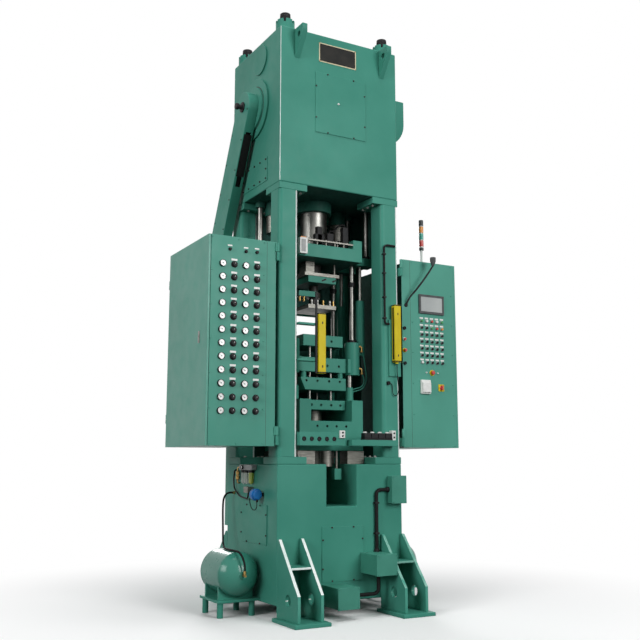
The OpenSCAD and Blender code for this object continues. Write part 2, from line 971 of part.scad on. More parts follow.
module belt_guard() {
    color(paint)
        difference() {
            side_profile(-guard_x - guard_t, guard_t)
                belt_outline(guard_r);
            side_profile(-guard_x - guard_t + guard_wall, guard_t - guard_wall - guard_wall)
                belt_outline(guard_r - guard_wall);
            side_profile(-guard_x - guard_t / 2 - guard_slot_w / 2, guard_slot_w)
                translate([0, crank_z])
                    rotate(guard_tilt)
                        translate([-guard_r - overrun, -guard_span * slot_end_share])
                            square([guard_wall + 2 * overrun,
                                guard_span * (slot_end_share - slot_start_share)]);
            bar_x(shaft_hole_r, -guard_x - guard_wall - overrun, -guard_x + overrun, 0, crank_z);
            bar_x(shaft_hole_r, -guard_x - guard_wall - overrun, -guard_x + overrun, motor_y, motor_z);
        }
}

module drive_belt() {
    color(black)
        side_profile(-guard_x - guard_t / 2 - belt_w / 2, belt_w)
            difference() {
                belt_outline(belt_r);
                belt_outline(belt_r - belt_t);
            }
}

module belt_pulleys() {
    color(steel) {
        bar_x(belt_r - belt_t, -guard_x - guard_t / 2 - belt_w / 2, -guard_x - guard_t / 2 + belt_w / 2,
            0, crank_z);
        bar_x(shaft_r, -guard_x - guard_t / 2, -side, 0, crank_z);
        bar_x(belt_r - belt_t, -guard_x - guard_t / 2 - belt_w / 2, -guard_x - guard_t / 2 + belt_w / 2,
            motor_y, motor_z);
        bar_x(shaft_r, -guard_x - guard_t / 2, -guard_x + motor_clear, motor_y, motor_z);
    }
}

module encoder() {
    color(black) {
        bar_x(encoder_flange_r, -guard_x - guard_t - encoder_flange_t, -guard_x - guard_t, 0, crank_z);
        bar_x(encoder_r, -guard_x - guard_t - encoder_flange_t - encoder_len, -guard_x - guard_t, 0, crank_z);
    }
}

module main_motor() {
    motor_x = -guard_x + motor_clear;
    color(paint) {
        bar_x(motor_r, motor_x, motor_x + motor_len, motor_y, motor_z);
        bar_x(cowl_r, motor_x + motor_len * (1 - cowl_share), motor_x + motor_len, motor_y, motor_z);
        block([motor_x + motor_len / 2 - terminal_w / 2, motor_y - terminal_w / 2, motor_z],
            [motor_x + motor_len / 2 + terminal_w / 2, motor_y + terminal_w / 2,
                motor_z + motor_r + terminal_h]);
        for (i = [1 : rib_n])
            translate([motor_x, motor_y, motor_z])
                rotate([i * 360 / rib_n, 0, 0])
                    block([rib_inset, -rib_t / 2, motor_r - rib_t],
                        [motor_len * (1 - cowl_share), rib_t / 2, motor_r + rib_h]);
        for (x_share = [1 - foot_span_share, foot_span_share])
            block([motor_x + motor_len * x_share - foot_w / 2, motor_y - motor_r, shelf_top],
                [motor_x + motor_len * x_share + foot_w / 2, motor_y + motor_r, motor_z - motor_r / 2]);
    }
}

module motor_bracket() {
    color(paint) {
        block([-side, -front, shelf_top - bracket_plate_h], [side, -front + bracket_plate_t, shelf_top]);
        block([-side, -front, shelf_top - motor_shelf_t],
            [-motor_shelf_in, motor_y + motor_r, shelf_top]);
        for (x = [-side, -motor_shelf_in - motor_shelf_t])
            side_profile(x, motor_shelf_t)
                polygon([[-front, shelf_top - bracket_plate_h], [-front, shelf_top],
                    [motor_y + motor_r, shelf_top],
                    [motor_y + motor_r, shelf_top - motor_shelf_t - motor_shelf_t],
                    [-front + bracket_plate_t, shelf_top - bracket_plate_h]]);
    }
}

module guide_flanges() {
    color(paint) {
        difference() {
            rod(flange_r, [0, 0], crown_bottom - flange_h, crown_bottom);
            rod(ram_r + slide_fit, [0, 0], crown_bottom - flange_h - overrun, crown_bottom + overrun);
        }
        four_places()
            difference() {
                rod(guide_bush_r, [guide_x, guide_y], crown_bottom - bush_h, crown_bottom);
                rod(guide_r + slide_fit, [guide_x, guide_y], crown_bottom - bush_h - overrun,
                    crown_bottom + overrun);
            }
        both_sides()
            difference() {
                rod(balance_flange_r, [balance_x, balance_y], balance_flange_z, crown_bottom);
                rod(balance_rod_r + slide_fit, [balance_x, balance_y], balance_flange_z - overrun,
                    balance_bore_top);
            }
    }
}

module balance_cylinders() {
    color(steel)
        both_sides()
            difference() {
                rod(balance_r, [balance_x, balance_y], balance_z, balance_flange_z);
                rod(balance_rod_r + slide_fit, [balance_x, balance_y], balance_z - overrun,
                    balance_flange_z + overrun);
            }
}

module ram() {
    color(steel)
        rod(ram_r, [0, 0], crosshead_top, crown_bottom + ram_inside);
}

module crosshead() {
    color(paint) {
        block([-crosshead_w / 2, -crosshead_d / 2, crosshead_z],
            [crosshead_w / 2, crosshead_d / 2, crosshead_top]);
        four_places()
            block([0, guide_y - ear_w / 2, crosshead_z], [ear_end, guide_y + ear_w / 2, ear_top]);
        block([crosshead_w / 2 - post_w, -crosshead_d / 2, crosshead_z],
            [crosshead_w / 2, -crosshead_d / 2 + post_d, crosshead_top + post_rise]);
    }
}

module limit_switch() {
    color("white")
        block([-crosshead_w / 2 - switch_box_out, -crosshead_d / 2 - switch_box_d,
                crosshead_top - switch_box_drop],
            [-crosshead_w / 2 - switch_box_out + switch_box_w, -crosshead_d / 2,
                crosshead_top - switch_box_drop + switch_box_h]);
}

module crosshead_rail() {
    rail_z = crosshead_top + rail_lift;
    color(steel) {
        block([-crosshead_w / 2, -crosshead_d / 2, rail_z],
            [crosshead_w / 2 - post_w, -crosshead_d / 2 + rail_d, rail_z + rail_h]);
        for (i = [1 : stud_n])
            rod(stud_r, [-crosshead_w / 2 + i * stud_step, -crosshead_d / 2 + rail_d / 2],
                crosshead_top, rail_z + overrun);
    }
}

module guide_rods() {
    color(steel) {
        both_sides()
            rod(balance_rod_r, [balance_x, balance_y], ear_top, balance_z + balance_rod_in);
        four_places() {
            rod(guide_r, [guide_x, guide_y], ear_top, crown_bottom + guide_inside);
            rod(lower_rod_r, [cylinder_x, guide_y], cylinder_top - lower_rod_in, crosshead_z);
            rod(thin_rod_r, [thin_cyl_x, guide_y], thin_cyl_top - thin_rod_in, crosshead_z);
        }
    }
}

module upper_platen() {
    color(paint)
        block([-upper_platen_w / 2, -upper_tool_d / 2, upper_platen_z],
            [upper_platen_w / 2, upper_tool_d / 2, upper_platen_z + upper_platen_h]);
}

module upper_punch() {
    clamp_z = upper_platen_z + upper_platen_h;
    color(steel) {
        block([-clamp_w / 2, -upper_tool_d / 2, clamp_z], [clamp_w / 2, upper_tool_d / 2, clamp_z + clamp_t]);
        rod(adapter_r, [0, 0], clamp_z, crosshead_z);
        block([-adapter_x - adapter_w, -upper_tool_d / 2, clamp_z],
            [-adapter_x, -upper_tool_d / 2 + adapter_d, crosshead_z]);
        four_places()
            rod(tie_bar_r, [tie_bar_x, tie_bar_y], clamp_z, crosshead_z);
        rod(punch_r, [0, 0], punch_z, upper_platen_z);
        rod(punch_collar_r, [0, 0], punch_collar_z, punch_collar_z + punch_collar_h);
        block([-punch_arm_x, -punch_arm_y, punch_collar_z],
            [0, -punch_arm_y + punch_arm_d, punch_collar_z + punch_collar_h]);
        block([-punch_plate_w / 2, -upper_tool_d / 2, punch_z],
            [punch_plate_w / 2, upper_tool_d / 2, punch_z + punch_plate_t]);
    }
}

module spacer_blocks() {
    color(steel)
        four_places()
            block([spacer_x - spacer_w / 2, spacer_y - spacer_d / 2, base_top],
                [spacer_x + spacer_w / 2, spacer_y + spacer_d / 2, bolster_z]);
}

module bolster() {
    color(paint)
        difference() {
            union() {
                block([-bolster_w / 2, -bolster_d / 2, bolster_z],
                    [bolster_w / 2, bolster_d / 2, bolster_top]);
                both_sides()
                    block([bolster_w / 2 - upright_w, -bolster_d / 2, bolster_z],
                        [bolster_w / 2, bolster_d / 2, upright_top]);
                four_places()
                    rod(pillar_foot_r, [pillar_x, guide_y], bolster_top, upright_top + pillar_foot_h);
            }
            rod(lower_ram_r + slide_fit, [0, 0], bolster_z - overrun, bolster_top + overrun);
        }
}

module pillars() {
    color(steel)
        four_places()
            rod(pillar_r, [pillar_x, guide_y], upright_top + pillar_foot_h, cylinder_z);
}

module side_cylinders() {
    color(paint)
        four_places()
            difference() {
                union() {
                    rod(cylinder_r, [cylinder_x, guide_y], cylinder_z, cylinder_top);
                    rod(thin_cyl_r, [thin_cyl_x, guide_y], cylinder_top - thin_cyl_lap, thin_cyl_top);
                    block([platen_w / 2, guide_y - arm_w / 2, platen_z],
                        [cylinder_x, guide_y + arm_w / 2, platen_z + platen_t]);
                }
                rod(lower_rod_r + slide_fit, [cylinder_x, guide_y], cylinder_top - lower_bore_depth,
                    cylinder_top + overrun);
                rod(thin_rod_r + slide_fit, [thin_cyl_x, guide_y], thin_cyl_top - thin_bore_depth,
                    thin_cyl_top + overrun);
            }
}

// Clearance holes for the four pull rods between two heights
module pull_rod_holes(low, high) {
    four_places()
        rod(pull_r + slide_fit, [pull_x, pull_y], low - overrun, high + overrun);
}

module lower_platen() {
    color(paint)
        difference() {
            block([-platen_w / 2, -platen_d / 2, platen_z],
                [platen_w / 2, platen_d / 2, platen_z + platen_t]);
            pull_rod_holes(platen_z, platen_z + platen_t);
        }
}

module punch_platen() {
    color(paint)
        difference() {
            union() {
                translate([0, platen_d / 2, 0])
                    rotate([90, 0, 0])
                        linear_extrude(platen_d)
                            polygon([[-punch_platen_w / 2, punch_platen_z + punch_platen_t],
                                [punch_platen_w / 2, punch_platen_z + punch_platen_t],
                                [punch_platen_w / 2, punch_platen_z],
                                [-punch_platen_w / 2 + punch_taper, punch_platen_z]]);
                four_places()
                    rod(pillar_r, [punch_platen_w * boss_x_share, boss_y],
                        punch_platen_z + punch_platen_t, platen_z);
            }
            pull_rod_holes(punch_platen_z, punch_platen_z + punch_platen_t);
        }
}

module die_plate() {
    color(paint)
        difference() {
            block([-die_w / 2, -platen_d / 2, die_z], [die_w / 2, platen_d / 2, die_z + die_t]);
            rod(die_hole_r, [0, 0], die_z + die_t * die_hole_depth_share, die_z + die_t + overrun);
        }
}

module pull_rods() {
    color(steel)
        four_places()
            rod(pull_r, [pull_x, pull_y], yoke_z + yoke_t, die_z);
}

module yoke_plate() {
    color(paint)
        block([-yoke_w / 2, -yoke_d / 2, yoke_z], [yoke_w / 2, yoke_d / 2, yoke_z + yoke_t]);
}

module lower_ram() {
    color(steel) {
        rod(lower_ram_r, [0, 0], lower_ram_z, yoke_z);
        rod(coupling_r, [0, 0], coupling_z, coupling_z + coupling_h);
    }
}

module core_cylinder() {
    color(black) {
        rod(core_r, [core_x, core_y], bolster_z - core_h, bolster_z);
        rod(rod_r, [rod_x, rod_y], coupling_z, bolster_z);
        block([rod_x - block_w / 2, rod_y - block_d / 2, coupling_z],
            [rod_x + block_w / 2, rod_y + block_d / 2, coupling_z + coupling_h]);
    }
}

module front_trays() {
    color(paint) {
        difference() {
            block([-column_in, tray_front, tray_z], [tray_end, tray_front + tray_d, tray_z + tray_h]);
            for (i = [1 : port_n])
                bar_y(port_r, tray_end - port_inset - i * port_step, tray_front - overrun,
                    tray_front + port_depth, tray_z + tray_h / 2);
        }
        block([manifold_x, front - tray_d, tray_z], [manifold_end, front, tray_z + tray_h - manifold_h]);
    }
}

module valve_manifold() {
    color(black) {
        block([valve_x, front - tray_d + tray_lip, tray_z + tray_h - manifold_h],
            [manifold_end - valve_end_inset, front - tray_lip, tray_z + tray_h]);
        for (i = [0 : knob_n - 1])
            rod(manifold_knob_r, [valve_x + knob_inset + i * knob_step, front - tray_d / 2], tray_z + tray_h,
                tray_z + tray_h + manifold_knob_t);
    }
}

// Boxes on the base's front and the cable duct at the rear
module junction_boxes() {
    color(paint) {
        block([upper_box_x, front - upper_box_d, upper_box_z],
            [upper_box_x + upper_box_w, front, upper_box_z + upper_box_h]);
        difference() {
            block([middle_box_x, front - lower_box_d, middle_box_z],
                [middle_box_x + lower_box_w, front, middle_box_z + lower_box_h]);
            base_cover();
        }
        block([low_box_x, front - lower_box_d, low_box_z],
            [low_box_x + lower_box_w, front, low_box_z + lower_box_h]);
        block([-side + duct_inset, -front, duct_z],
            [-side + duct_inset + duct_w, -front + duct_d, shelf_top - bracket_plate_h]);
    }
}

module conduits() {
    upper_in = upper_box_z + upper_box_h / 2;
    middle_x = middle_box_x + lower_box_w - 2 * conduit_out;
    low_in = low_box_z + lower_box_h / 2;
    low_y = front - lower_box_d / 2;
    low_x = middle_box_x + lower_box_w / 2;
    color(black) {
        bent_tube([[upper_box_x, front - conduit_out, upper_in], [middle_x, front - conduit_out, upper_in],
            [middle_x, front - conduit_out, middle_box_z + lower_box_h]], conduit_r);
        bent_tube([[low_x, low_y, middle_box_z], [low_x, low_y, low_in],
            [low_box_x + lower_box_w, low_y, low_in]], conduit_r);
        bent_tube([[side - column_corner - conduit_r, front, column_pipe_top],
            [side - column_corner - conduit_r, front - conduit_out, column_pipe_top],
            [column_pipe_x, front - conduit_out, column_pipe_top],
            [column_pipe_x, front - conduit_out, column_pipe_z],
            [curtain_right_x - plate_margin, front - conduit_out, column_pipe_z]], column_pipe_r);
        translate(curtain_cable_route[len(curtain_cable_route) - 1])
            block([-plug_w, -plug_d / 2, -plug_h / 2], [0, plug_d / 2, plug_h / 2]);
    }
}

// One hinge of the left cabinet: the frame's knuckle, leaf and pin
module frame_hinge(z) {
    rod(barrel_r, [-hinge_x, hinge_y], z, z + hinge_half);
    rod(pin_r, [-hinge_x, hinge_y], z, z + hinge_h);
    block([-hinge_x, hinge_y - leaf_t / 2, z], [-side, front + column_corner + leaf_t, z + hinge_half]);
}

module hinge_barrels() {
    color(paint)
        both_sides()
            for (z = [hinge_low, hinge_high])
                frame_hinge(z);
}

// The cabinet's own knuckle above the frame's, drilled for the pin
module cabinet_hinge(z) {
    difference() {
        union() {
            rod(barrel_r, [-hinge_x, hinge_y], z + hinge_half + hinge_split, z + hinge_h);
            block([-hinge_x - panel_gap - leaf_t, -cab_front - barrel_r, z + hinge_half + hinge_split],
                [-hinge_x, -cab_front, z + hinge_h]);
        }
        rod(pin_r + slide_fit, [-hinge_x, hinge_y], z, z + hinge_h + overrun);
    }
}

// Folded shell of the left cabinet, open on its outer side, with the hinge strip at the front
module cabinet_shell() {
    difference() {
        block([-shell_x, -cab_front, cab_z], [-cab_inner, cab_back, cab_top]);
        block([-shell_x - overrun, -cab_front + cab_wall, cab_z + cab_wall],
            [-cab_inner - cab_wall, cab_back - cab_wall, cab_top - cab_wall]);
    }
    block([-cab_inner, -cab_front, cab_z], [-hinge_x - panel_gap, -cab_front + cab_wall, cab_top]);
    for (z = [hinge_low, hinge_high])
        cabinet_hinge(z);
}

module left_cabinet() {
    color(paint) {
        cabinet_shell();
        for (z_share = door_hinge_shares) {
            low = cab_z + cab_h * z_share;
            rod(door_barrel_r, [-door_hinge_x, door_hinge_y], low, low + door_half);
            rod(door_pin_r, [-door_hinge_x, door_hinge_y], low, low + door_hinge_h);
            block([-door_hinge_x, cab_back, low], [-shell_x + leaf_t, door_hinge_y, low + door_half]);
        }
    }
}

module left_cabinet_door() {
    color(paint) {
        difference() {
            block([-cab_outer, -cab_front, cab_z], [-cab_outer + door_t, cab_back, cab_top]);
            block([-cab_outer + door_wall, -cab_front + door_wall, cab_z + door_wall],
                [-cab_outer + door_t + overrun, cab_back - door_wall, cab_top - door_wall]);
        }
        for (z_share = door_hinge_shares) {
            low = cab_z + cab_h * z_share + door_half + door_split;
            difference() {
                union() {
                    rod(door_barrel_r, [-door_hinge_x, door_hinge_y], low, low + door_half);
                    block([-cab_outer, cab_back - door_wall, low],
                        [-door_hinge_x, door_hinge_y, low + door_half]);
                }
                rod(door_pin_r + slide_fit, [-door_hinge_x, door_hinge_y], low - overrun, low + door_hinge_h);
            }
        }
    }
}

// A round fitting on the front of a cabinet: place is sideways and up, two stepped discs
module panel_round(x, z, r, t, bezel) {
    bar_y(r, x, -cab_front - bezel, -cab_front, z);
    bar_y(r * step_share, x, -cab_front - t, -cab_front, z);
}

module pressure_gauges() {
    color(steel)
        for (row = [0 : gauge_rows - 1])
            for (column = [0, 2])
                panel_round(-cab_outer + gauge_in_x + column * gauge_step_x,
                    cab_top - gauge_drop - row * gauge_step_z, gauge_r, gauge_t, gauge_t / 2);
}

module regulator_knobs() {
    color(black)
        for (row = [0 : gauge_rows - 1])
            for (column = [1, 3])
                panel_round(-cab_outer + gauge_in_x + column * gauge_step_x,
                    cab_top - gauge_drop - row * gauge_step_z, knob_r, knob_t, bezel_t);
}

module right_cabinet() {
    color(paint)
        mirror([1, 0, 0])
            cabinet_shell();
}

module right_cabinet_cover() {
    color(paint)
        difference() {
            block([shell_x, -cab_front, cab_z], [cab_outer, cab_back, cab_top]);
            block([shell_x - overrun, -cab_front + door_wall, cab_z + door_wall],
                [cab_outer - door_wall, cab_back - door_wall, cab_top - door_wall]);
        }
}

module operator_controls() {
    x = cab_inner + screen_in_x;
    z = cab_top - screen_drop - screen_h;
    color(black) {
        block([x, -cab_front - screen_t, z], [x + screen_w, -cab_front, z + screen_h]);
        for (row = [0 : button_rows - 1])
            for (column = [0 : button_cols - 1])
                panel_round(cab_inner + button_in_x + column * button_step_x,
                    cab_top - button_drop - row * button_step_z, button_r, button_t, bezel_t);
    }
}

// Stack light on the right cabinet's roof and the bent work lamp on its front
module cabinet_lamps() {
    last = lamp_points[len(lamp_points) - 1];
    color(black) {
        rod(stack_r / 2, [stack_x, stack_y], cab_top, cab_top + pole_h);
        rod(stack_r, [stack_x, stack_y], cab_top + pole_h, cab_top + pole_h + stack_h);
        bar_y(lamp_base_r, lamp_points[0][0], -cab_front - lamp_base_t, -cab_front, lamp_points[0][2]);
        bent_tube(lamp_points, lamp_r);
        translate(last)
            cylinder(r = lamp_head_r, h = lamp_head_len);
    }
}

module light_curtains() {
    color("gold") {
        block([curtain_left_x, front - curtain_d + leaf_t / 2, curtain_left_z],
            [curtain_left_x + curtain_w, front + leaf_t / 2, curtain_left_z + curtain_h]);
        block([curtain_right_x, front - plate_t - curtain_d, curtain_right_z],
            [curtain_right_x + curtain_w, front - plate_t, curtain_right_z + curtain_h]);
        rod(small_gland_r, curtain_cable_route[0], curtain_cable_route[0][2], curtain_right_z + overrun);
    }
}

module curtain_brackets() {
    color(paint) {
        for (z_share = arm_z_shares)
            block([-column_in, front - curtain_arm_t, curtain_left_z + curtain_h * z_share],
                [curtain_left_x, front + curtain_arm_lap_y,
                    curtain_left_z + curtain_h * z_share + curtain_arm_t]);
        block([curtain_right_x - plate_margin, front - plate_t, plate_z],
            [side, front, plate_z + plate_h]);
    }
}

module air_tanks() {
    color(paint)
        both_sides() {
            bar_y(tank_r, tank_x, -tank_straight / 2, tank_straight / 2, tank_z);
            bar_y(tank_boss_r, tank_x, tank_front, 0, tank_z);
            for (end = [-1, 1])
                intersection() {
                    translate([tank_x, end * (tank_straight / 2 + tank_cap - tank_dome_r), tank_z])
                        sphere(r = tank_dome_r);
                    bar_y(tank_r, tank_x, min(0, end * tank_straight), max(0, end * tank_straight), tank_z);
                }
        }
}

module tank_stands() {
    plate_top = stand_foot_h + stand_t;
    color(paint)
        both_sides() {
            difference() {
                for (y = [-1, 1])
                    block([tank_x - tank_r * saddle_w_share, y * saddle_y - saddle_t / 2,
                            plate_top - overrun],
                        [tank_x + tank_r * saddle_w_share, y * saddle_y + saddle_t / 2,
                            tank_z - tank_r * saddle_z_share]);
                bar_y(tank_r + slide_fit, tank_x, -tank_straight, tank_straight, tank_z);
            }
            block([side, -stand_half, stand_foot_h], [tank_x + tank_r, stand_half, plate_top]);
            for (x = [-1, 1])
                for (y = [-1, 1])
                    rod(stand_foot_r, [tank_x + x * (tank_r - foot_inset), y * (stand_half - foot_inset)],
                        0, stand_foot_h);
        }
}

module air_unit() {
    cable_end = switch_cable_route[len(switch_cable_route) - 1];
    hose_end = tank_hose_route[len(tank_hose_route) - 1];
    color(steel) {
        block([-side - header_t, header_y, header_z], [-side, header_y + header_len, header_z + header_h]);
        for (y = bowl_ys)
            rod(bowl_r, [-side - header_t / 2, y], header_z - bowl_h, header_z);
        bar_y(switch_r, -side - header_t - switch_stem_r, switch_y - switch_len, switch_y, switch_z);
        bar_x(switch_stem_r, -side - header_t - switch_stem_r, -side, switch_y - switch_len / 2, switch_z);
        rod(small_gland_r, switch_cable_route[0], switch_cable_route[0][2], switch_z);
        bar_x(small_gland_r, -side - small_gland_len, -side, cable_end[1], cable_end[2]);
        bar_x(gland_r, -side - gland_len, -side, tank_hose_route[0][1], tank_hose_route[0][2]);
        bar_y(fitting_r, -tank_x, tank_front - fitting_len, tank_front, tank_z);
        rod(fitting_r, [-tank_x, hose_end[1]], tank_z, hose_end[2]);
        bent_tube([[-side - header_t / 2, header_y + header_len, header_z + header_h / 2],
            [-side - header_t / 2, pipe_y, header_z + header_h / 2],
            [-side - header_t / 2, pipe_y, header_z + header_h / 2 - pipe_drop],
            [-side, pipe_y, header_z + header_h / 2 - pipe_drop]], pipe_r);
    }
}

module tank_hose() {
    color(black)
        hose(tank_hose_route, tank_hose_r);
}

module switch_cable() {
    color(black)
        hose(switch_cable_route, switch_cable_r);
}

module curtain_cable() {
    color(black)
        hose(curtain_cable_route, curtain_cable_r);
}

base_lower();
base_cheeks();
base_rear_block();
inspection_covers();
bracket_gussets();
foot_plates();
columns();
column_pads();
rear_guard();
tie_nuts();
crown();
lifting_lugs();
bearing_covers();
belt_guard();
drive_belt();
belt_pulleys();
encoder();
main_motor();
motor_bracket();
guide_flanges();
balance_cylinders();
ram();
crosshead();
limit_switch();
crosshead_rail();
guide_rods();
upper_platen();
upper_punch();
spacer_blocks();
bolster();
pillars();
side_cylinders();
lower_platen();
punch_platen();
die_plate();
pull_rods();
yoke_plate();
lower_ram();
core_cylinder();
front_trays();
valve_manifold();
junction_boxes();
conduits();
hinge_barrels();
left_cabinet();
left_cabinet_door();
pressure_gauges();
regulator_knobs();
right_cabinet();
right_cabinet_cover();
operator_controls();
cabinet_lamps();
light_curtains();
curtain_brackets();
air_tanks();
tank_stands();
air_unit();
tank_hose();
switch_cable();
curtain_cable();
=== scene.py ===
import json
import math

import bpy
from mathutils import Matrix, Vector


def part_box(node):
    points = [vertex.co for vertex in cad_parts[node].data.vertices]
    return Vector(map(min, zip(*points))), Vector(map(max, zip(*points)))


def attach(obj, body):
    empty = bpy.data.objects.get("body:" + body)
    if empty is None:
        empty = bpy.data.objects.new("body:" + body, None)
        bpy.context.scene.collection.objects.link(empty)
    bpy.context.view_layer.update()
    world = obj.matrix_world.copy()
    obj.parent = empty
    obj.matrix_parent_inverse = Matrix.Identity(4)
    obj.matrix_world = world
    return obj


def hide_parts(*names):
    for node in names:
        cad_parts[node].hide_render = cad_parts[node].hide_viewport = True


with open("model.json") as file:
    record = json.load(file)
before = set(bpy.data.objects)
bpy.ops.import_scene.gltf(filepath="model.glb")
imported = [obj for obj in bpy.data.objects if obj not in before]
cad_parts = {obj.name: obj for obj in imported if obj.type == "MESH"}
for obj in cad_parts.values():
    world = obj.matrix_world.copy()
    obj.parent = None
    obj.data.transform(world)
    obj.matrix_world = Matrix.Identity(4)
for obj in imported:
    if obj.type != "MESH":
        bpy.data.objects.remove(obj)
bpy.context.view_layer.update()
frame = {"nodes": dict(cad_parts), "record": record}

print("frame loaded:", len(frame["nodes"]), "nodes")

right, back, up = Vector((1, 0, 0)), Vector((0, 1, 0)), Vector((0, 0, 1))
left, ahead, down = -right, -back, -up


# camera: the photograph's standpoint
photoCamera = {"place": (-4.516, -8.239, 1.46), "pitch": 9.22, "yaw": 29.17, "lens": 49.42, "reach": 200}

bpy.ops.object.select_all(action="DESELECT")
bpy.ops.object.camera_add(
    location=photoCamera["place"],
    rotation=(math.radians(90 + photoCamera["pitch"]), 0, -math.radians(photoCamera["yaw"])),
)
camera = bpy.context.active_object
bpy.context.scene.camera = camera
camera.data.lens = photoCamera["lens"]
camera.data.clip_end = photoCamera["reach"]


# working helpers, each does what a hand would do in the viewport
def pick(*pieces):
    bpy.ops.object.select_all(action="DESELECT")
    for piece in pieces:
        piece.select_set(True)
    bpy.context.view_layer.objects.active = pieces[0]


def settle(piece):
    pick(piece)
    bpy.ops.object.transform_apply(location=True, rotation=True, scale=True)
    return piece


def choose(piece, kind, test):
    # goes into edit mode with the faces or edges selected that pass the test
    pick(piece)
    bpy.ops.object.mode_set(mode="EDIT")
    bpy.ops.mesh.select_mode(type=kind)
    bpy.ops.mesh.select_all(action="DESELECT")
    bpy.ops.object.mode_set(mode="OBJECT")
    for item in piece.data.polygons if kind == "FACE" else piece.data.edges:
        item.select = test(item)
    bpy.ops.object.mode_set(mode="EDIT")


def endEdit():
    bpy.ops.object.mode_set(mode="OBJECT")


def applyModifier(piece, kind, **values):
    pick(piece)
    modifier = piece.modifiers.new(kind.lower(), kind)
    for key, value in values.items():
        setattr(modifier, key, value)
    bpy.ops.object.modifier_apply(modifier=modifier.name)


def cutOut(piece, tool):
    applyModifier(piece, "BOOLEAN", object=tool, operation="DIFFERENCE", solver="EXACT")
    bpy.data.objects.remove(tool)


def softenEdges(piece, width, segments=2, edgeSlot=0):
    applyModifier(
        piece, "BEVEL", width=width, segments=segments, limit_method="ANGLE",
        angle_limit=math.radians(40), use_clamp_overlap=False, material=edgeSlot,
    )


def shade(piece):
    pick(piece)
    bpy.ops.object.shade_smooth_by_angle(angle=math.radians(38))
    applyModifier(piece, "WEIGHTED_NORMAL", keep_sharp=True)


def block(name, low, high, soft=0.003, segments=2):
    low, high = Vector(low), Vector(high)
    bpy.ops.object.select_all(action="DESELECT")
    bpy.ops.mesh.primitive_cube_add(size=1, location=(low + high) / 2, scale=high - low)
    piece = settle(bpy.context.active_object)
    piece.name = name
    if soft:
        choose(piece, "FACE", lambda face: True)
        bpy.ops.mesh.bevel(offset=soft, segments=segments, affect="EDGES")
        endEdit()
    return piece


def slab(name, halfX, halfY, thick, soft):
    # a thin plate modelled flat, for facing it onto a panel later
    return block(name, (-halfX, -halfY, 0), (halfX, halfY, thick), soft, 1)


def turned(name, profile, place=(0, 0, 0), axis=up, sides=24):
    # a lathe profile of (radius, height) steps, pulled up from a filled circle
    (radius, height), *steps = profile
    bpy.ops.object.select_all(action="DESELECT")
    bpy.ops.mesh.primitive_circle_add(
        vertices=sides, radius=radius, fill_type="NGON", location=(0, 0, height))
    piece = settle(bpy.context.active_object)
    piece.name = name
    choose(piece, "FACE", lambda face: True)
    for nextRadius, nextHeight in steps:
        bpy.ops.mesh.extrude_region_move(
            TRANSFORM_OT_translate={"value": (0, 0, nextHeight - height)})
        share = nextRadius / radius
        bpy.ops.transform.resize(value=(share, share, 1), center_override=(0, 0, nextHeight))
        radius, height = nextRadius, nextHeight
    bpy.ops.mesh.select_all(action="SELECT")
    bpy.ops.mesh.normals_make_consistent(inside=False)
    endEdit()
    piece.rotation_euler = Vector(axis).to_track_quat("Z", "Y").to_euler()
    piece.location = place
    return settle(piece)


def scaled(radius, depth, shares):
    # a lathe profile from shares of a radius and a depth
    return [(radius * across, depth * rise) for across, rise in shares]


def joined(name, *pieces):
    pick(*pieces)
    bpy.ops.object.join()
    pieces[0].name = name
    return pieces[0]


def repeated(name, master, places):
    made = []
    for place in places:
        mesh = master.data.copy()
        mesh.transform(place if isinstance(place, Matrix) else Matrix.Translation(place))
        copy = bpy.data.objects.new(name, mesh)
        bpy.context.scene.collection.objects.link(copy)
        made.append(copy)
    bpy.data.objects.remove(master)
    return joined(name, *made)


def facing(place, normal):
    # puts a piece modelled flat, looking up, onto a face that looks along normal
    return Matrix.Translation(place) @ Vector(normal).to_track_quat("Z", "Y").to_matrix().to_4x4()


def solidBoxes(node):
    # the box of each separate solid of a CAD node, from left to right
    mesh = frame["nodes"][node].data
    keys = [tuple(round(number * 20000) for number in vertex.co) for vertex in mesh.vertices]
    parents = {key: key for key in keys}

    def root(key):
        while parents[key] != key:
            parents[key] = parents[parents[key]]
            key = parents[key]
        return key

    for face in mesh.polygons:
        first = root(keys[face.vertices[0]])
        for index in face.vertices[1:]:
            parents[root(keys[index])] = first
    groups = {}
    for key, vertex in zip(keys, mesh.vertices):
        groups.setdefault(root(key), []).append(vertex.co)
    boxes = []
    for points in groups.values():
        low = Vector(map(min, zip(*points)))
        high = Vector(map(max, zip(*points)))
        boxes.append((low, high))
    return sorted(boxes, key=lambda box: tuple(round(number, 3) for number in box[0]))


def middle(box):
    return (box[0] + box[1]) / 2


def roundSize(box):
    # radius and depth of a round fitting that looks to the front
    return (box[1].x - box[0].x) / 2, box[1].y - box[0].y


def footSpot(box):
    # where a fitting that looks to the front stands on its panel
    return Vector((middle(box).x, box[1].y, middle(box).z))


# finishes: dark and light end of the mottling, roughness range, mottling, grain and bump
def coat(dark, light, rough, mottle, grain, bump, **more):
    return {"dark": dark, "light": light, "rough": rough, "mottle": mottle, "grain": grain, "bump": bump,
            **more}


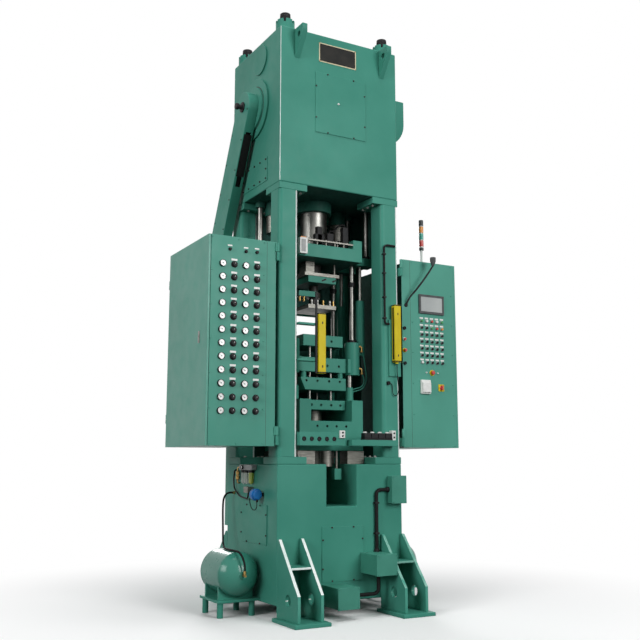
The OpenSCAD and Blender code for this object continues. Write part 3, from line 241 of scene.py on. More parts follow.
finishes = {
    "machinePaint": coat((0.046, 0.242, 0.18), (0.068, 0.294, 0.224), (0.32, 0.46), 1.4, 240, 0.06,
                         gloss=0.1),
    "cabinetPaint": coat((0.056, 0.26, 0.194), (0.07, 0.304, 0.23), (0.36, 0.48), 1.1, 260, 0.05,
                         gloss=0.16),
    # the cabinet paint, glossier and a little lighter for the door: the lighter colour is painted sheen
    "doorPaint": coat((0.058, 0.264, 0.198), (0.072, 0.308, 0.234), (0.34, 0.46), 1.1, 260, 0.05,
                      gloss=0.36),
    # a lighter copy of the cabinet paint for the right cabinet, as painted light
    "controlPaint": coat((0.072, 0.296, 0.224), (0.088, 0.344, 0.264), (0.36, 0.48), 1.1, 260, 0.05,
                         gloss=0.18),
    "tankPaint": coat((0.034, 0.206, 0.152), (0.048, 0.246, 0.184), (0.26, 0.36), 3, 200, 0.01,
                      gloss=0.12, coat=0.4),
    "boxPaint": coat((0.044, 0.215, 0.158), (0.06, 0.265, 0.198), (0.38, 0.5), 3, 260, 0.06, gloss=0.2),
    # painted shade: a dark green for undersides and for faces that look into the machine
    "paintedShade": coat((0.02, 0.072, 0.06), (0.034, 0.112, 0.092), (0.5, 0.7), 5, 200, 0.08, gloss=0.1),
    # painted shade for the guide flanges below the crown
    "shadedPaint": coat((0.014, 0.075, 0.056), (0.022, 0.105, 0.08), (0.45, 0.6), 5, 200, 0.08, gloss=0.12),
    "bluePaint": coat((0.004, 0.11, 0.36), (0.01, 0.16, 0.46), (0.34, 0.46), 20, 300, 0.05, gloss=0.25),
    "wornEdge": coat((0.06, 0.31, 0.23), (0.28, 0.52, 0.44), (0.3, 0.48), 16, 300, 0.1, gloss=0.3),
    # painted highlight: near-white for the edges that face the light
    "paintedHighlight": coat((0.62, 0.76, 0.72), (0.9, 0.94, 0.92), (0.2, 0.34), 5, 300, 0.05, coat=0.3),
    "yellowCoat": coat((0.56, 0.44, 0.004), (0.68, 0.54, 0.008), (0.36, 0.5), 6, 300, 0.05, gloss=0.2),
    "hardChrome": coat((0.15, 0.15, 0.14), (0.25, 0.245, 0.225), (0.3, 0.42), 9, 500, 0.02, metal=1.0),
    "groundSteel": coat((0.11, 0.108, 0.095), (0.21, 0.205, 0.185), (0.4, 0.55), 12, 180, 0.12,
                        metal=1.0, stretch=(1, 1, 14)),
    "zincBolt": coat((0.2, 0.2, 0.19), (0.34, 0.34, 0.32), (0.35, 0.5), 60, 400, 0.05, metal=1.0),
    "darkSteel": coat((0.016, 0.015, 0.014), (0.042, 0.038, 0.033), (0.4, 0.55), 25, 300, 0.08, gloss=0.25),
    "brass": coat((0.24, 0.15, 0.05), (0.38, 0.25, 0.09), (0.3, 0.44), 30, 300, 0.06, metal=1.0),
    "plateGold": coat((0.6, 0.52, 0.32), (0.74, 0.66, 0.44), (0.28, 0.4), 20, 300, 0.03),
    "plateBlack": coat((0.01, 0.011, 0.01), (0.022, 0.021, 0.018), (0.4, 0.5), 8, 300, 0.03, gloss=0.12),
    "blackRubber": coat((0.004, 0.004, 0.004), (0.009, 0.009, 0.009), (0.6, 0.8), 40, 350, 0.2, gloss=0.15),
    "blackPlastic": coat((0.004, 0.004, 0.005), (0.009, 0.009, 0.01), (0.42, 0.58), 30, 600, 0.1,
                         gloss=0.18),
    "slatePlastic": coat((0.045, 0.05, 0.052), (0.07, 0.076, 0.078), (0.4, 0.55), 25, 500, 0.05,
                         gloss=0.25),
    "greyPlastic": coat((0.26, 0.27, 0.27), (0.33, 0.34, 0.34), (0.36, 0.5), 25, 500, 0.06),
    "whitePlastic": coat((0.7, 0.71, 0.68), (0.8, 0.81, 0.79), (0.3, 0.42), 25, 500, 0.04),
    "dialWhite": coat((0.76, 0.77, 0.75), (0.83, 0.84, 0.82), (0.2, 0.3), 30, 700, 0.01, coat=0.6),
    "redPlastic": coat((0.46, 0.018, 0.014), (0.58, 0.03, 0.022), (0.28, 0.4), 30, 500, 0.03, coat=0.3),
    "greenPlastic": coat((0.02, 0.25, 0.06), (0.03, 0.34, 0.09), (0.28, 0.4), 30, 500, 0.03, coat=0.3),
    "tealPlastic": coat((0.006, 0.27, 0.2), (0.012, 0.34, 0.26), (0.28, 0.4), 30, 500, 0.03, coat=0.3),
    "orangePlastic": coat((0.62, 0.2, 0.012), (0.74, 0.27, 0.02), (0.28, 0.4), 30, 500, 0.03, coat=0.3),
    "screenGlass": coat((0.3, 0.33, 0.33), (0.42, 0.45, 0.44), (0.06, 0.12), 3, 700, 0.005, coat=1.0),
    "bowlClear": coat((0.66, 0.7, 0.66), (0.8, 0.83, 0.78), (0.08, 0.16), 12, 300, 0.01, clear=0.55),
    "bowlGreen": coat((0.42, 0.5, 0.06), (0.55, 0.62, 0.1), (0.1, 0.2), 12, 300, 0.01, clear=0.35),
}
madeFinishes = {}


def noiseAt(tree, scale, detail, stretch):
    place = tree.nodes.new("ShaderNodeTexCoord")
    mapping = tree.nodes.new("ShaderNodeMapping")
    mapping.inputs["Scale"].default_value = stretch
    texture = tree.nodes.new("ShaderNodeTexNoise")
    texture.inputs["Scale"].default_value = scale
    texture.inputs["Detail"].default_value = detail
    tree.links.new(place.outputs["Object"], mapping.inputs["Vector"])
    tree.links.new(mapping.outputs["Vector"], texture.inputs["Vector"])
    return texture.outputs["Fac"]


def finish(name):
    if name in madeFinishes:
        return madeFinishes[name]
    look = finishes[name]
    made = bpy.data.materials.new(name)
    made.use_nodes = True
    tree = made.node_tree
    shader = tree.nodes["Principled BSDF"]
    stretch = look.get("stretch", (1, 1, 1))
    mottle = noiseAt(tree, look["mottle"], 5, stretch)
    ramp = tree.nodes.new("ShaderNodeValToRGB")
    ends = ramp.color_ramp.elements
    ends[0].position, ends[0].color = 0.32, (*look["dark"], 1)
    ends[1].position, ends[1].color = 0.68, (*look["light"], 1)
    tree.links.new(mottle, ramp.inputs["Fac"])
    tree.links.new(ramp.outputs["Color"], shader.inputs["Base Color"])
    wear = noiseAt(tree, look["mottle"] * 7, 6, stretch)
    spread = tree.nodes.new("ShaderNodeMapRange")
    spread.inputs["From Min"].default_value = 0.3
    spread.inputs["From Max"].default_value = 0.7
    spread.inputs["To Min"].default_value, spread.inputs["To Max"].default_value = look["rough"]
    tree.links.new(wear, spread.inputs["Value"])
    tree.links.new(spread.outputs["Result"], shader.inputs["Roughness"])
    bump = tree.nodes.new("ShaderNodeBump")
    bump.inputs["Strength"].default_value = look["bump"]
    bump.inputs["Distance"].default_value = 0.002
    tree.links.new(noiseAt(tree, look["grain"], 2, stretch), bump.inputs["Height"])
    tree.links.new(bump.outputs["Normal"], shader.inputs["Normal"])
    shader.inputs["Metallic"].default_value = look.get("metal", 0.0)
    shader.inputs["Specular IOR Level"].default_value = look.get("gloss", 0.5)
    shader.inputs["Coat Weight"].default_value = look.get("coat", 0.0)
    shader.inputs["Coat Roughness"].default_value = 0.12
    shader.inputs["Transmission Weight"].default_value = look.get("clear", 0.0)
    madeFinishes[name] = made
    return made


def layer(piece, look):
    piece.data.materials.clear()
    for name in [look] if isinstance(look, str) else look:
        piece.data.materials.append(finish(name))


def wearEdges(piece, looks, width, segments=2):
    # soft edges in the second finish
    layer(piece, looks)
    softenEdges(piece, width, segments, 1)


def give(piece, body, look, slot=None, *nodes):
    # finish, body and replaced nodes of a piece; the record slot is not used
    layer(piece, look)
    shade(piece)
    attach(piece, body)
    if nodes:
        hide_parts(*nodes)
    return piece


def paintFaces(piece, index, test):
    for face in piece.data.polygons:
        if test(face):
            face.material_index = index


def scatter(name, master, places, normal, body, look, slot=None, *nodes):
    # copies of one piece on faces that look along normal
    return give(repeated(name, master, [facing(place, normal) for place in places]), body, look, slot,
                *nodes)


bodyOf = {node: body for body, nodes in frame["record"]["behaviour"]["bodies"].items() for node in nodes}
slotOf = {row["node"]: row["material_slot"] for row in frame["record"]["subparts"]}
ownNames = {
    "crosshead": "crossheadBeam", "bolster": "bolsterBlock", "columns": "frontAndRearColumns",
    "ram": "ramColumn", "pillars": "stackPillars", "left_cabinet": "gaugeCabinet",
    "left_cabinet_door": "gaugeCabinetDoor", "right_cabinet": "controlCabinet",
    "right_cabinet_cover": "controlCabinetCover",
}


def dress(node, look, width):
    # a merged copy of a CAD node with softened edges, which are worn where the look has layers
    first, *others = node.split("_")
    name = ownNames.get(node, first + "".join(word.title() for word in others))
    piece = bpy.data.objects.new(name, frame["nodes"][node].data.copy())
    bpy.context.scene.collection.objects.link(piece)
    pick(piece)
    bpy.ops.object.mode_set(mode="EDIT")
    bpy.ops.mesh.select_all(action="SELECT")
    bpy.ops.mesh.remove_doubles(threshold=0.00003)
    bpy.ops.mesh.dissolve_limited(angle_limit=math.radians(0.7))
    endEdit()
    layer(piece, look)
    paintFaces(piece, 0, lambda face: True)
    softenEdges(piece, width, 2, 0 if isinstance(look, str) else 1)
    return give(piece, bodyOf[node], look, slotOf[node], node)


painted = ("machinePaint", "wornEdge")
# the machine paint with a painted highlight as its third layer
withPaintedHighlight = (*painted, "paintedHighlight")
# the machine paint with painted shade as its third layer
withPaintedShade = (*painted, "paintedShade")


# screws: modelled once, copied and joined in groups
def capScrew(radius):
    profile = scaled(radius, radius, ((1, 0), (1, 0.75), (0.86, 0.95), (0.5, 0.95), (0.45, 0.45)))
    return turned("screw", profile, sides=12)


def hexBolt(radius):
    washer = turned("washer", scaled(radius, radius, ((1.3, 0), (1.3, 0.18))), sides=18)
    head = turned("head", scaled(radius, radius, ((1, 0.18), (1, 0.75), (0.85, 0.88))), sides=6)
    return joined("bolt", washer, head)


def screws(name, places, normal, radius, body, look="zincBolt", kind=capScrew):
    return scatter(name, kind(radius), places, normal, body, look)


def facePlace(box, normal, first, second):
    # a place on the outer face of a box, by its coordinates along the face
    axis = max(range(3), key=lambda index: abs(normal[index]))
    place = [first, second]
    place.insert(axis, box[1][axis] if normal[axis] > 0 else box[0][axis])
    return Vector(place)


def rim(box, normal, inset, along, upright):
    # places round the edge of a plate's outer face, by rows of the given counts
    low, high = box
    axis = max(range(3), key=lambda index: abs(normal[index]))
    a, b = [index for index in range(3) if index != axis]

    def between(index, share):
        return low[index] + inset + share * (high[index] - low[index] - 2 * inset)

    shares = [(index / (along - 1), end) for index in range(along) for end in (0, 1)]
    shares += [(end, index / (upright - 1)) for index in range(1, upright - 1) for end in (0, 1)]
    return [facePlace(box, normal, between(a, first), between(b, second)) for first, second in shares]


# lines: cords stay curves, rigid pipes become meshes
def lineThrough(name, points, radius, smooth):
    line = bpy.data.curves.new(name, "CURVE")
    line.dimensions = "3D"
    line.bevel_depth = radius
    line.bevel_resolution = 4
    line.use_fill_caps = True
    if smooth:
        spline = line.splines.new("BEZIER")
        spline.bezier_points.add(len(points) - 1)
        for point, place in zip(spline.bezier_points, points):
            point.co = place
            point.handle_left_type = point.handle_right_type = "AUTO"
        spline.resolution_u = 6
    else:
        spline = line.splines.new("POLY")
        spline.points.add(len(points) - 1)
        for point, place in zip(spline.points, points):
            point.co = (*place, 1)
    piece = bpy.data.objects.new(name, line)
    bpy.context.scene.collection.objects.link(piece)
    return piece


def pipe(name, points, radius, smooth=False):
    pick(lineThrough(name, points, radius, smooth))
    bpy.ops.object.convert(target="MESH")
    return bpy.context.active_object


def bent(points, radius, steps=6):
    # corners of a pipe run rounded to a bend
    points = [Vector(point) for point in points]
    run = [points[0]]
    for before, corner, after in zip(points, points[1:], points[2:]):
        reach = min(radius, (before - corner).length / 2, (after - corner).length / 2)
        start = corner + (before - corner).normalized() * reach
        end = corner + (after - corner).normalized() * reach
        for step in range(steps + 1):
            share = step / steps
            run.append(start.lerp(corner, share).lerp(corner.lerp(end, share), share))
    return run + [points[-1]]


# free cords: they follow the routes of the frame, and all show from end to end
cords = {
    "tank_hose": {"name": "tankHose", "diameter": 0.020, "length": 1.338, "stiffness": "medium",
                  "lay": "loose", "route": [
        (-0.740, 0.400, 1.150), (-0.770, 0.400, 1.150), (-0.800, 0.398, 1.144), (-0.826, 0.394, 1.126),
        (-0.845, 0.388, 1.096), (-0.856, 0.380, 1.055), (-0.863, 0.369, 1.000), (-0.869, 0.354, 0.930),
        (-0.876, 0.333, 0.860), (-0.886, 0.305, 0.790), (-0.900, 0.268, 0.725), (-0.918, 0.222, 0.675),
        (-0.938, 0.165, 0.644), (-0.957, 0.100, 0.628), (-0.972, 0.030, 0.621), (-0.979, -0.050, 0.619),
        (-0.980, -0.130, 0.619), (-0.977, -0.205, 0.619), (-0.972, -0.265, 0.616), (-0.965, -0.312, 0.600),
        (-0.957, -0.347, 0.568), (-0.950, -0.368, 0.530), (-0.946, -0.378, 0.492), (-0.945, -0.380, 0.460),
        (-0.945, -0.380, 0.440)]},
    "switch_cable": {"name": "switchCable", "diameter": 0.009, "length": 0.351, "stiffness": "limp",
                     "lay": "hanging", "route": [
        (-0.790, -0.300, 1.078), (-0.790, -0.300, 1.064), (-0.790, -0.300, 1.050), (-0.790, -0.296, 1.034),
        (-0.790, -0.286, 1.019), (-0.790, -0.270, 1.008), (-0.790, -0.250, 1.002), (-0.790, -0.228, 1.001),
        (-0.790, -0.206, 1.005), (-0.790, -0.185, 1.014), (-0.789, -0.165, 1.027), (-0.787, -0.146, 1.044),
        (-0.784, -0.128, 1.064), (-0.779, -0.110, 1.084), (-0.772, -0.094, 1.102), (-0.762, -0.082, 1.114),
        (-0.750, -0.076, 1.119), (-0.740, -0.075, 1.120), (-0.733, -0.075, 1.120)]},
    "curtain_cable": {"name": "curtainCable", "diameter": 0.008, "length": 0.513, "stiffness": "limp",
                      "lay": "hanging", "route": [
        (0.645, -0.645, 2.480), (0.645, -0.645, 2.462), (0.645, -0.645, 2.440), (0.646, -0.644, 2.405),
        (0.650, -0.642, 2.365), (0.656, -0.639, 2.325), (0.663, -0.635, 2.285), (0.669, -0.631, 2.245),
        (0.672, -0.627, 2.210), (0.669, -0.622, 2.180), (0.658, -0.618, 2.157), (0.641, -0.615, 2.148),
        (0.624, -0.612, 2.155), (0.613, -0.610, 2.176), (0.609, -0.609, 2.203), (0.609, -0.608, 2.228),
        (0.607, -0.608, 2.246), (0.601, -0.608, 2.263), (0.592, -0.608, 2.274), (0.583, -0.608, 2.278),
        (0.575, -0.608, 2.278)]},
}
for node, cord in cords.items():
    piece = lineThrough(cord["name"], cord["route"], cord["diameter"] / 2, True)
    piece.data.materials.append(finish("blackRubber"))
    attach(piece, bodyOf[node])
    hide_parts(node)
print("cords laid")

# base: one welded block with the front notch cut out
baseForm = {"soft": 0.012, "segments": 3, "overrun": 0.1}
lowerLow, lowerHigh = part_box("base_lower")
rearLow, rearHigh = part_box("base_rear_block")
cheekLeft, cheekRight = solidBoxes("base_cheeks")
pressBase = block("pressBase", lowerLow, (lowerHigh.x, lowerHigh.y, rearHigh.z), 0)
cutOut(pressBase, block("notch", (cheekLeft[1].x, lowerLow.y - baseForm["overrun"], lowerHigh.z),
                        (cheekRight[0].x, rearLow.y, rearHigh.z + baseForm["overrun"]), 0))
wearEdges(pressBase, painted, baseForm["soft"], baseForm["segments"])
give(pressBase, "frame", painted, "paint", "base_lower", "base_cheeks", "base_rear_block")

# crown: a closed box with softened, worn edges, a painted highlight down its front left edge and painted
# shade on its underside
crownForm = {"soft": 0.014, "segments": 3}
crownLow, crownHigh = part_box("crown")
crownBox = block("crownBox", crownLow, crownHigh, 0)
wearEdges(crownBox, painted, crownForm["soft"], crownForm["segments"])
give(crownBox, "frame", (*withPaintedHighlight, "paintedShade"), "paint", "crown")
paintFaces(crownBox, 3, lambda face: face.normal.z < -0.95)
paintFaces(crownBox, 2,
           lambda face: face.normal.x < -0.3 and face.normal.y < -0.3 and abs(face.normal.z) < 0.1)
print("base and crown done")

# painted castings and sheet parts, with the width of their softened edges
paintedParts = {
    "inspection_covers": 0.0025, "bracket_gussets": 0.004, "foot_plates": 0.004, "column_pads": 0.005,
    "lifting_lugs": 0.006, "bearing_covers": 0.004, "belt_guard": 0.004, "main_motor": 0.002,
    "motor_bracket": 0.003, "guide_flanges": 0.003, "crosshead": 0.006, "upper_platen": 0.004,
    "bolster": 0.006, "side_cylinders": 0.002, "lower_platen": 0.004, "punch_platen": 0.004,
    "die_plate": 0.004, "yoke_plate": 0.004, "front_trays": 0.003, "hinge_barrels": 0.002,
    "curtain_brackets": 0.002, "tank_stands": 0.002,
}
# parts whose undersides get painted shade
paintedShadeBelow = ("crosshead", "upper_platen", "lower_platen", "punch_platen", "die_plate", "yoke_plate",
             "guide_flanges")
for node, width in paintedParts.items():
    piece = dress(node, withPaintedShade, width)
    if node in paintedShadeBelow:
        paintFaces(piece, 2, lambda face: face.normal.z < -0.95)

# the bracket edges that slope up to the front get a painted highlight, white on the left and pale green on
# the right; the flanges below the crown get painted shade
bracketTop = 0.2
for name in ("bracketGussets", "footPlates"):
    def sloping(face):
        upward = face.normal.z > 0.1 or name == "footPlates"
        return upward and face.center.z > bracketTop and face.normal.y < -0.3

    bracket = bpy.data.objects[name]
    bracket.data.materials.append(finish("paintedHighlight"))
    paintFaces(bracket, 3, lambda face: sloping(face) and face.center.x < 0)
    paintFaces(bracket, 1, lambda face: sloping(face) and face.center.x > 0)
bpy.data.objects["guideFlanges"].data.materials[0] = finish("shadedPaint")

# sheet cabinets and tanks have a glossier coat
glossyParts = {
    "left_cabinet": ("cabinetPaint", 0.0015), "left_cabinet_door": ("doorPaint", 0.0015),
    "right_cabinet": ("controlPaint", 0.003), "right_cabinet_cover": ("controlPaint", 0.003),
    "air_tanks": ("tankPaint", 0.002),
}
for node, (look, width) in glossyParts.items():
    dress(node, (look, "wornEdge", "paintedShade"), width)
# the right cabinet's side that faces the press gets painted shade
innerSide = {"right": 0.9, "front": -0.55}
paintFaces(bpy.data.objects["controlCabinet"], 2, lambda face: (
    face.normal.x < -0.9 and face.center.x < innerSide["right"] and face.center.y > innerSide["front"]))

# columns: a painted highlight on their rounded corners that look to the front and right
columns = dress("columns", withPaintedHighlight, 0.003)
paintFaces(columns, 2, lambda face: face.normal.y < -0.3 and 0.3 < face.normal.x < 0.93)

# bare metal and dark parts
bareParts = {
    "drive_belt": ("blackRubber", 0.001), "belt_pulleys": ("groundSteel", 0.002),
    "balance_cylinders": ("groundSteel", 0.003), "ram": ("hardChrome", 0.003),
    "crosshead_rail": ("groundSteel", 0.002), "guide_rods": ("hardChrome", 0.002),
    "spacer_blocks": ("groundSteel", 0.003), "pillars": ("hardChrome", 0.002),
    "pull_rods": ("hardChrome", 0.001), "lower_ram": ("groundSteel", 0.003),
    "core_cylinder": ("groundSteel", 0.003),
}
for node, (look, width) in bareParts.items():
    dress(node, look, width)
coupling = {"top": 1.40, "side": 0.02}
coreCylinder = bpy.data.objects["coreCylinder"]
coreCylinder.data.materials.append(finish("machinePaint"))
paintFaces(coreCylinder, 1,
           lambda face: face.center.z < coupling["top"] and face.center.x > coupling["side"])
print("CAD forms dressed")

# gauges on the left panel: cases with white dials, ticks, needle and hub
gaugeForm = {"case": ((1, 0), (1, 0.55), (0.96, 0.8), (0.86, 0.8), (0.86, 0.6)), "dial": 0.6, "ticks": 9,
             "reach": 0.8, "tick": 0.2, "tickHalf": 0.0008, "sweep": (225, 270), "needle": (-0.15, 0.62),
             "needleHalf": 0.0012,
             "needleTurn": 55, "needleRise": 0.64, "hub": ((0.2, 0.6), (0.2, 0.72), (0.12, 0.78))}
gaugeBoxes = solidBoxes("pressure_gauges")
gaugeRadius, gaugeDepth = roundSize(gaugeBoxes[0])
gaugeSpots = [footSpot(box) for box in gaugeBoxes]
gaugeCase = turned("case", scaled(gaugeRadius, gaugeDepth, gaugeForm["case"]), sides=28)
gaugeBezels = scatter("gaugeBezels", gaugeCase, gaugeSpots, ahead,
                      "left_cabinet", ("blackPlastic", "dialWhite"), "gauge", "pressure_gauges")
paintFaces(gaugeBezels, 1, lambda face: len(face.vertices) > 20 and face.normal.y < -0.5)
tickHalf, needleHalf = gaugeForm["tickHalf"], gaugeForm["needleHalf"]
marks = []
for tick in range(gaugeForm["ticks"]):
    start, sweep = gaugeForm["sweep"]
    angle = math.radians(start - sweep * tick / (gaugeForm["ticks"] - 1))
    mark = block("tick", (-tickHalf, -gaugeRadius * gaugeForm["tick"], 0), (tickHalf, 0, tickHalf), 0.0002,
                 1)
    mark.data.transform(Matrix.Rotation(angle - math.pi / 2, 4, "Z")
                        @ Matrix.Translation((0, gaugeRadius * gaugeForm["reach"],
                                              gaugeDepth * gaugeForm["dial"])))
    marks.append(mark)
tail, tip = gaugeForm["needle"]
needle = block("needle", (-needleHalf, gaugeRadius * tail, 0), (needleHalf, gaugeRadius * tip, 0.001),
               0.0003, 1)
needle.data.transform(Matrix.Rotation(math.radians(gaugeForm["needleTurn"]), 4, "Z")
                      @ Matrix.Translation((0, 0, gaugeDepth * gaugeForm["needleRise"])))
hub = turned("hub", scaled(gaugeRadius, gaugeDepth, gaugeForm["hub"]), sides=14)
scatter("dialMarks", joined("dialMarks", *marks, needle, hub), gaugeSpots, ahead, "left_cabinet",
        "greyPlastic")

# knobs with skirts and pointers, and label plates above the upper rows
knobForm = {"profile": ((1.5, 0), (1.5, 0.2), (1.36, 0.28), (1.12, 0.3), (1.08, 0.9), (0.92, 1)),
            "pointer": 0.55, "pointerHalf": 0.0015, "sunk": 0.001, "proud": 0.0008}
labelForm = {"half": (0.031, 0.010), "thick": 0.002, "soft": 0.0008, "rise": 0.045, "rows": 10}
knobBoxes = solidBoxes("regulator_knobs")
knobRadius, knobDepth = roundSize(knobBoxes[0])
knobSpots = [footSpot(box) for box in knobBoxes]
scatter("regulatorKnobs", turned("knob", scaled(knobRadius, knobDepth, knobForm["profile"]), sides=20),
        knobSpots, ahead, "left_cabinet", "blackPlastic", "black", "regulator_knobs")
pointer = block("pointer", (-knobForm["pointerHalf"], 0, knobDepth - knobForm["sunk"]),
                (knobForm["pointerHalf"], knobRadius * knobForm["pointer"], knobDepth + knobForm["proud"]),
                0.0003, 1)
scatter("knobPointers", pointer, knobSpots, ahead, "left_cabinet", "whitePlastic")
rowHeights = sorted({round(place.z, 3) for place in knobSpots}, reverse=True)
labelled = [place + up * labelForm["rise"] for place in knobSpots
            if round(place.z, 3) >= rowHeights[labelForm["rows"] - 1]]
scatter("knobLabels", slab("plate", *labelForm["half"], labelForm["thick"], labelForm["soft"]), labelled,
        ahead, "left_cabinet", "whitePlastic")

# tie rod nuts, with black threaded rod ends standing out of them
nutForm = {"soft": 0.004, "height": 0.105, "endRadius": 0.0553, "ridge": 0.0018, "ridges": 8,
           "threaded": 0.062}
tieNuts = dress("tie_nuts", (*painted, "blackPlastic"), nutForm["soft"])
nutTop = crownHigh.z + nutForm["height"]
paintFaces(tieNuts, 2, lambda face: face.center.z > nutTop + 0.001)
pitch = nutForm["threaded"] / nutForm["ridges"]
threadSteps = [(nutForm["endRadius"], 0)]
for ridge in range(nutForm["ridges"]):
    threadSteps.append((nutForm["endRadius"] + nutForm["ridge"], (ridge + 0.5) * pitch))
    threadSteps.append((nutForm["endRadius"], (ridge + 1) * pitch))
nutSpots = [Vector((*middle(box).xy, nutTop)) for box in solidBoxes("tie_nuts")]
give(repeated("rodThreads", turned("thread", threadSteps), nutSpots), "frame", "blackPlastic")

# bolts through the column pads, heads on the inner ledges
padForm = {"radius": 0.016, "ledge": 0.045, "edge": 0.075}
padPlaces = {"lower": [], "upper": []}
for low, high in solidBoxes("column_pads"):
    ledge, edge = [], []
    for axis in (0, 1):
        away = 1 if low[axis] > 0 else -1
        inner, outer = (low[axis], high[axis])[::away]
        ledge.append(inner + away * padForm["ledge"])
        edge.append(outer - away * padForm["edge"])
    end, height = ("lower", high.z) if low.z < crownLow.z / 2 else ("upper", low.z)
    for spot in ((ledge[0], edge[1]), (ledge[0], (ledge[1] + edge[1]) / 2), ledge, (edge[0], ledge[1])):
        padPlaces[end].append(Vector((*spot, height)))
screws("lowerPadBolts", padPlaces["lower"], up, padForm["radius"], "frame", kind=hexBolt)
screws("upperPadBolts", padPlaces["upper"], down, padForm["radius"], "frame", kind=hexBolt)

# crown front: bare nameplate, cover screws and a plug in the cover's middle
namePlate = {"low": (-0.262, 5.658), "high": (0.196, 5.872), "thick": 0.004, "soft": 0.0012,
             "border": 0.011,
             "proud": 0.001, "sunk": 0.002, "fieldSoft": 0.0004, "screw": 0.0045, "inset": 0.0055}
(plateLeft, plateFoot), (plateRight, plateTop) = namePlate["low"], namePlate["high"]
plateLow = Vector((plateLeft, crownLow.y - namePlate["thick"], plateFoot))
plateHigh = Vector((plateRight, crownLow.y, plateTop))
give(block("namePlateBorder", plateLow, plateHigh, namePlate["soft"]), "frame", "plateGold")
border = Vector((namePlate["border"], 0, namePlate["border"]))
give(block("namePlateField", plateLow + border + ahead * namePlate["proud"],
           plateHigh - border + ahead * namePlate["sunk"], namePlate["fieldSoft"]), "frame", "plateBlack")
screws("namePlateScrews", rim((plateLow, plateHigh), ahead, namePlate["inset"], 2, 2), ahead,
       namePlate["screw"], "frame", "brass")
coverForm = {"radius": 0.0085, "inset": 0.009, "shares": (0.24, 0.76), "plug": (-0.03, 0, 0.02),
             "plugRadius": 0.011}
coverNormals = {"Front": ahead, "Left": left, "Right": right}
coverPlaces = {side: [] for side in coverNormals}
coverBoxes = solidBoxes("inspection_covers")
for box in coverBoxes:
    low, high = box
    side = "Front" if low.y < crownLow.y - 0.001 else "Left" if low.x < 0 else "Right"
    run = 0 if side == "Front" else 1
    inset = Vector((1, 1, 1)) * coverForm["inset"]
    for share in coverForm["shares"]:
        inner = low.lerp(high, share)
        for end in (low + inset, high - inset):
            coverPlaces[side].append(facePlace(box, coverNormals[side], inner[run], end.z))
            coverPlaces[side].append(facePlace(box, coverNormals[side], end[run], inner.z))
for side, places in coverPlaces.items():
    screws("coverScrews" + side, places, coverNormals[side], coverForm["radius"], "frame", "darkSteel")
crownCover = [box for box in coverBoxes if box[0].z > crownLow.z][0]
plugSpot = Vector((middle(crownCover).x, crownCover[0].y, middle(crownCover).z)) + Vector(coverForm["plug"])
screws("coverPlug", [plugSpot], ahead, coverForm["plugRadius"], "frame", "whitePlastic")

# bare side plates low on the crown
sidePlate = {"half": 0.31, "low": 4.357, "high": 4.62, "thick": 0.006, "soft": 0.002, "radius": 0.010,
             "inset": 0.028}
for side, normal, face in (("Left", left, crownLow.x), ("Right", right, crownHigh.x)):
    near, far = sorted((face, face + normal.x * sidePlate["thick"]))
    box = (Vector((near, -sidePlate["half"], sidePlate["low"])),
           Vector((far, sidePlate["half"], sidePlate["high"])))
    give(block("crownPlate" + side, *box, sidePlate["soft"]), "frame", "machinePaint", "paint")
    screws("crownPlateScrews" + side, rim(box, normal, sidePlate["inset"], 5, 3), normal,
           sidePlate["radius"], "frame", "darkSteel")

# bearing covers: a dark joint round the left hub, a housing over the right cap
bearingForm = {"hub": 0.2376, "joint": 0.010, "flange": 0.0225, "rises": (-0.001, 0.0008, 0.0012),
               "sides": 64}
ringBox = solidBoxes("bearing_covers")[0]
jointSpot = (ringBox[1].x - bearingForm["flange"], middle(ringBox).y, middle(ringBox).z)
jointRadius = bearingForm["hub"] + bearingForm["joint"]
jointSteps = zip((jointRadius, jointRadius, bearingForm["hub"] + 0.001), bearingForm["rises"])
give(turned("hubJoint", jointSteps, jointSpot, left, bearingForm["sides"]), "frame", "darkSteel")
housingForm = {"reach": 0.285, "half": 0.33, "low": 5.0, "high": 5.555, "round": 0.282, "segments": 12,
               "soft": 0.006, "lidHalf": 0.28, "lid": (5.32, 5.525), "lidThick": 0.006, "screw": 0.009,
               "inset": 0.022, "near": 0.01}
housingEnd = crownHigh.x + housingForm["reach"]
shaftHousing = block("shaftHousing", (crownHigh.x, -housingForm["half"], housingForm["low"]),
                     (housingEnd, housingForm["half"], housingForm["high"]), 0)
cornerX, cornerZ = housingEnd - housingForm["near"], housingForm["low"] + housingForm["near"]
housingCorners = [vertex.co.x > cornerX and vertex.co.z < cornerZ for vertex in shaftHousing.data.vertices]
choose(shaftHousing, "EDGE", lambda edge: all(housingCorners[index] for index in edge.vertices))
bpy.ops.mesh.bevel(offset=housingForm["round"], segments=housingForm["segments"], affect="EDGES")
endEdit()
wearEdges(shaftHousing, painted, housingForm["soft"])
give(shaftHousing, "frame", painted, "paint")
lidLow, lidHigh = housingForm["lid"]
housingLid = (Vector((housingEnd, -housingForm["lidHalf"], lidLow)),
              Vector((housingEnd + housingForm["lidThick"], housingForm["lidHalf"], lidHigh)))
give(block("housingLid", *housingLid, 0.002), "frame", "machinePaint", "paint")
screws("housingScrews", rim(housingLid, right, housingForm["inset"], 4, 2), right, housingForm["screw"],
       "frame", "darkSteel")

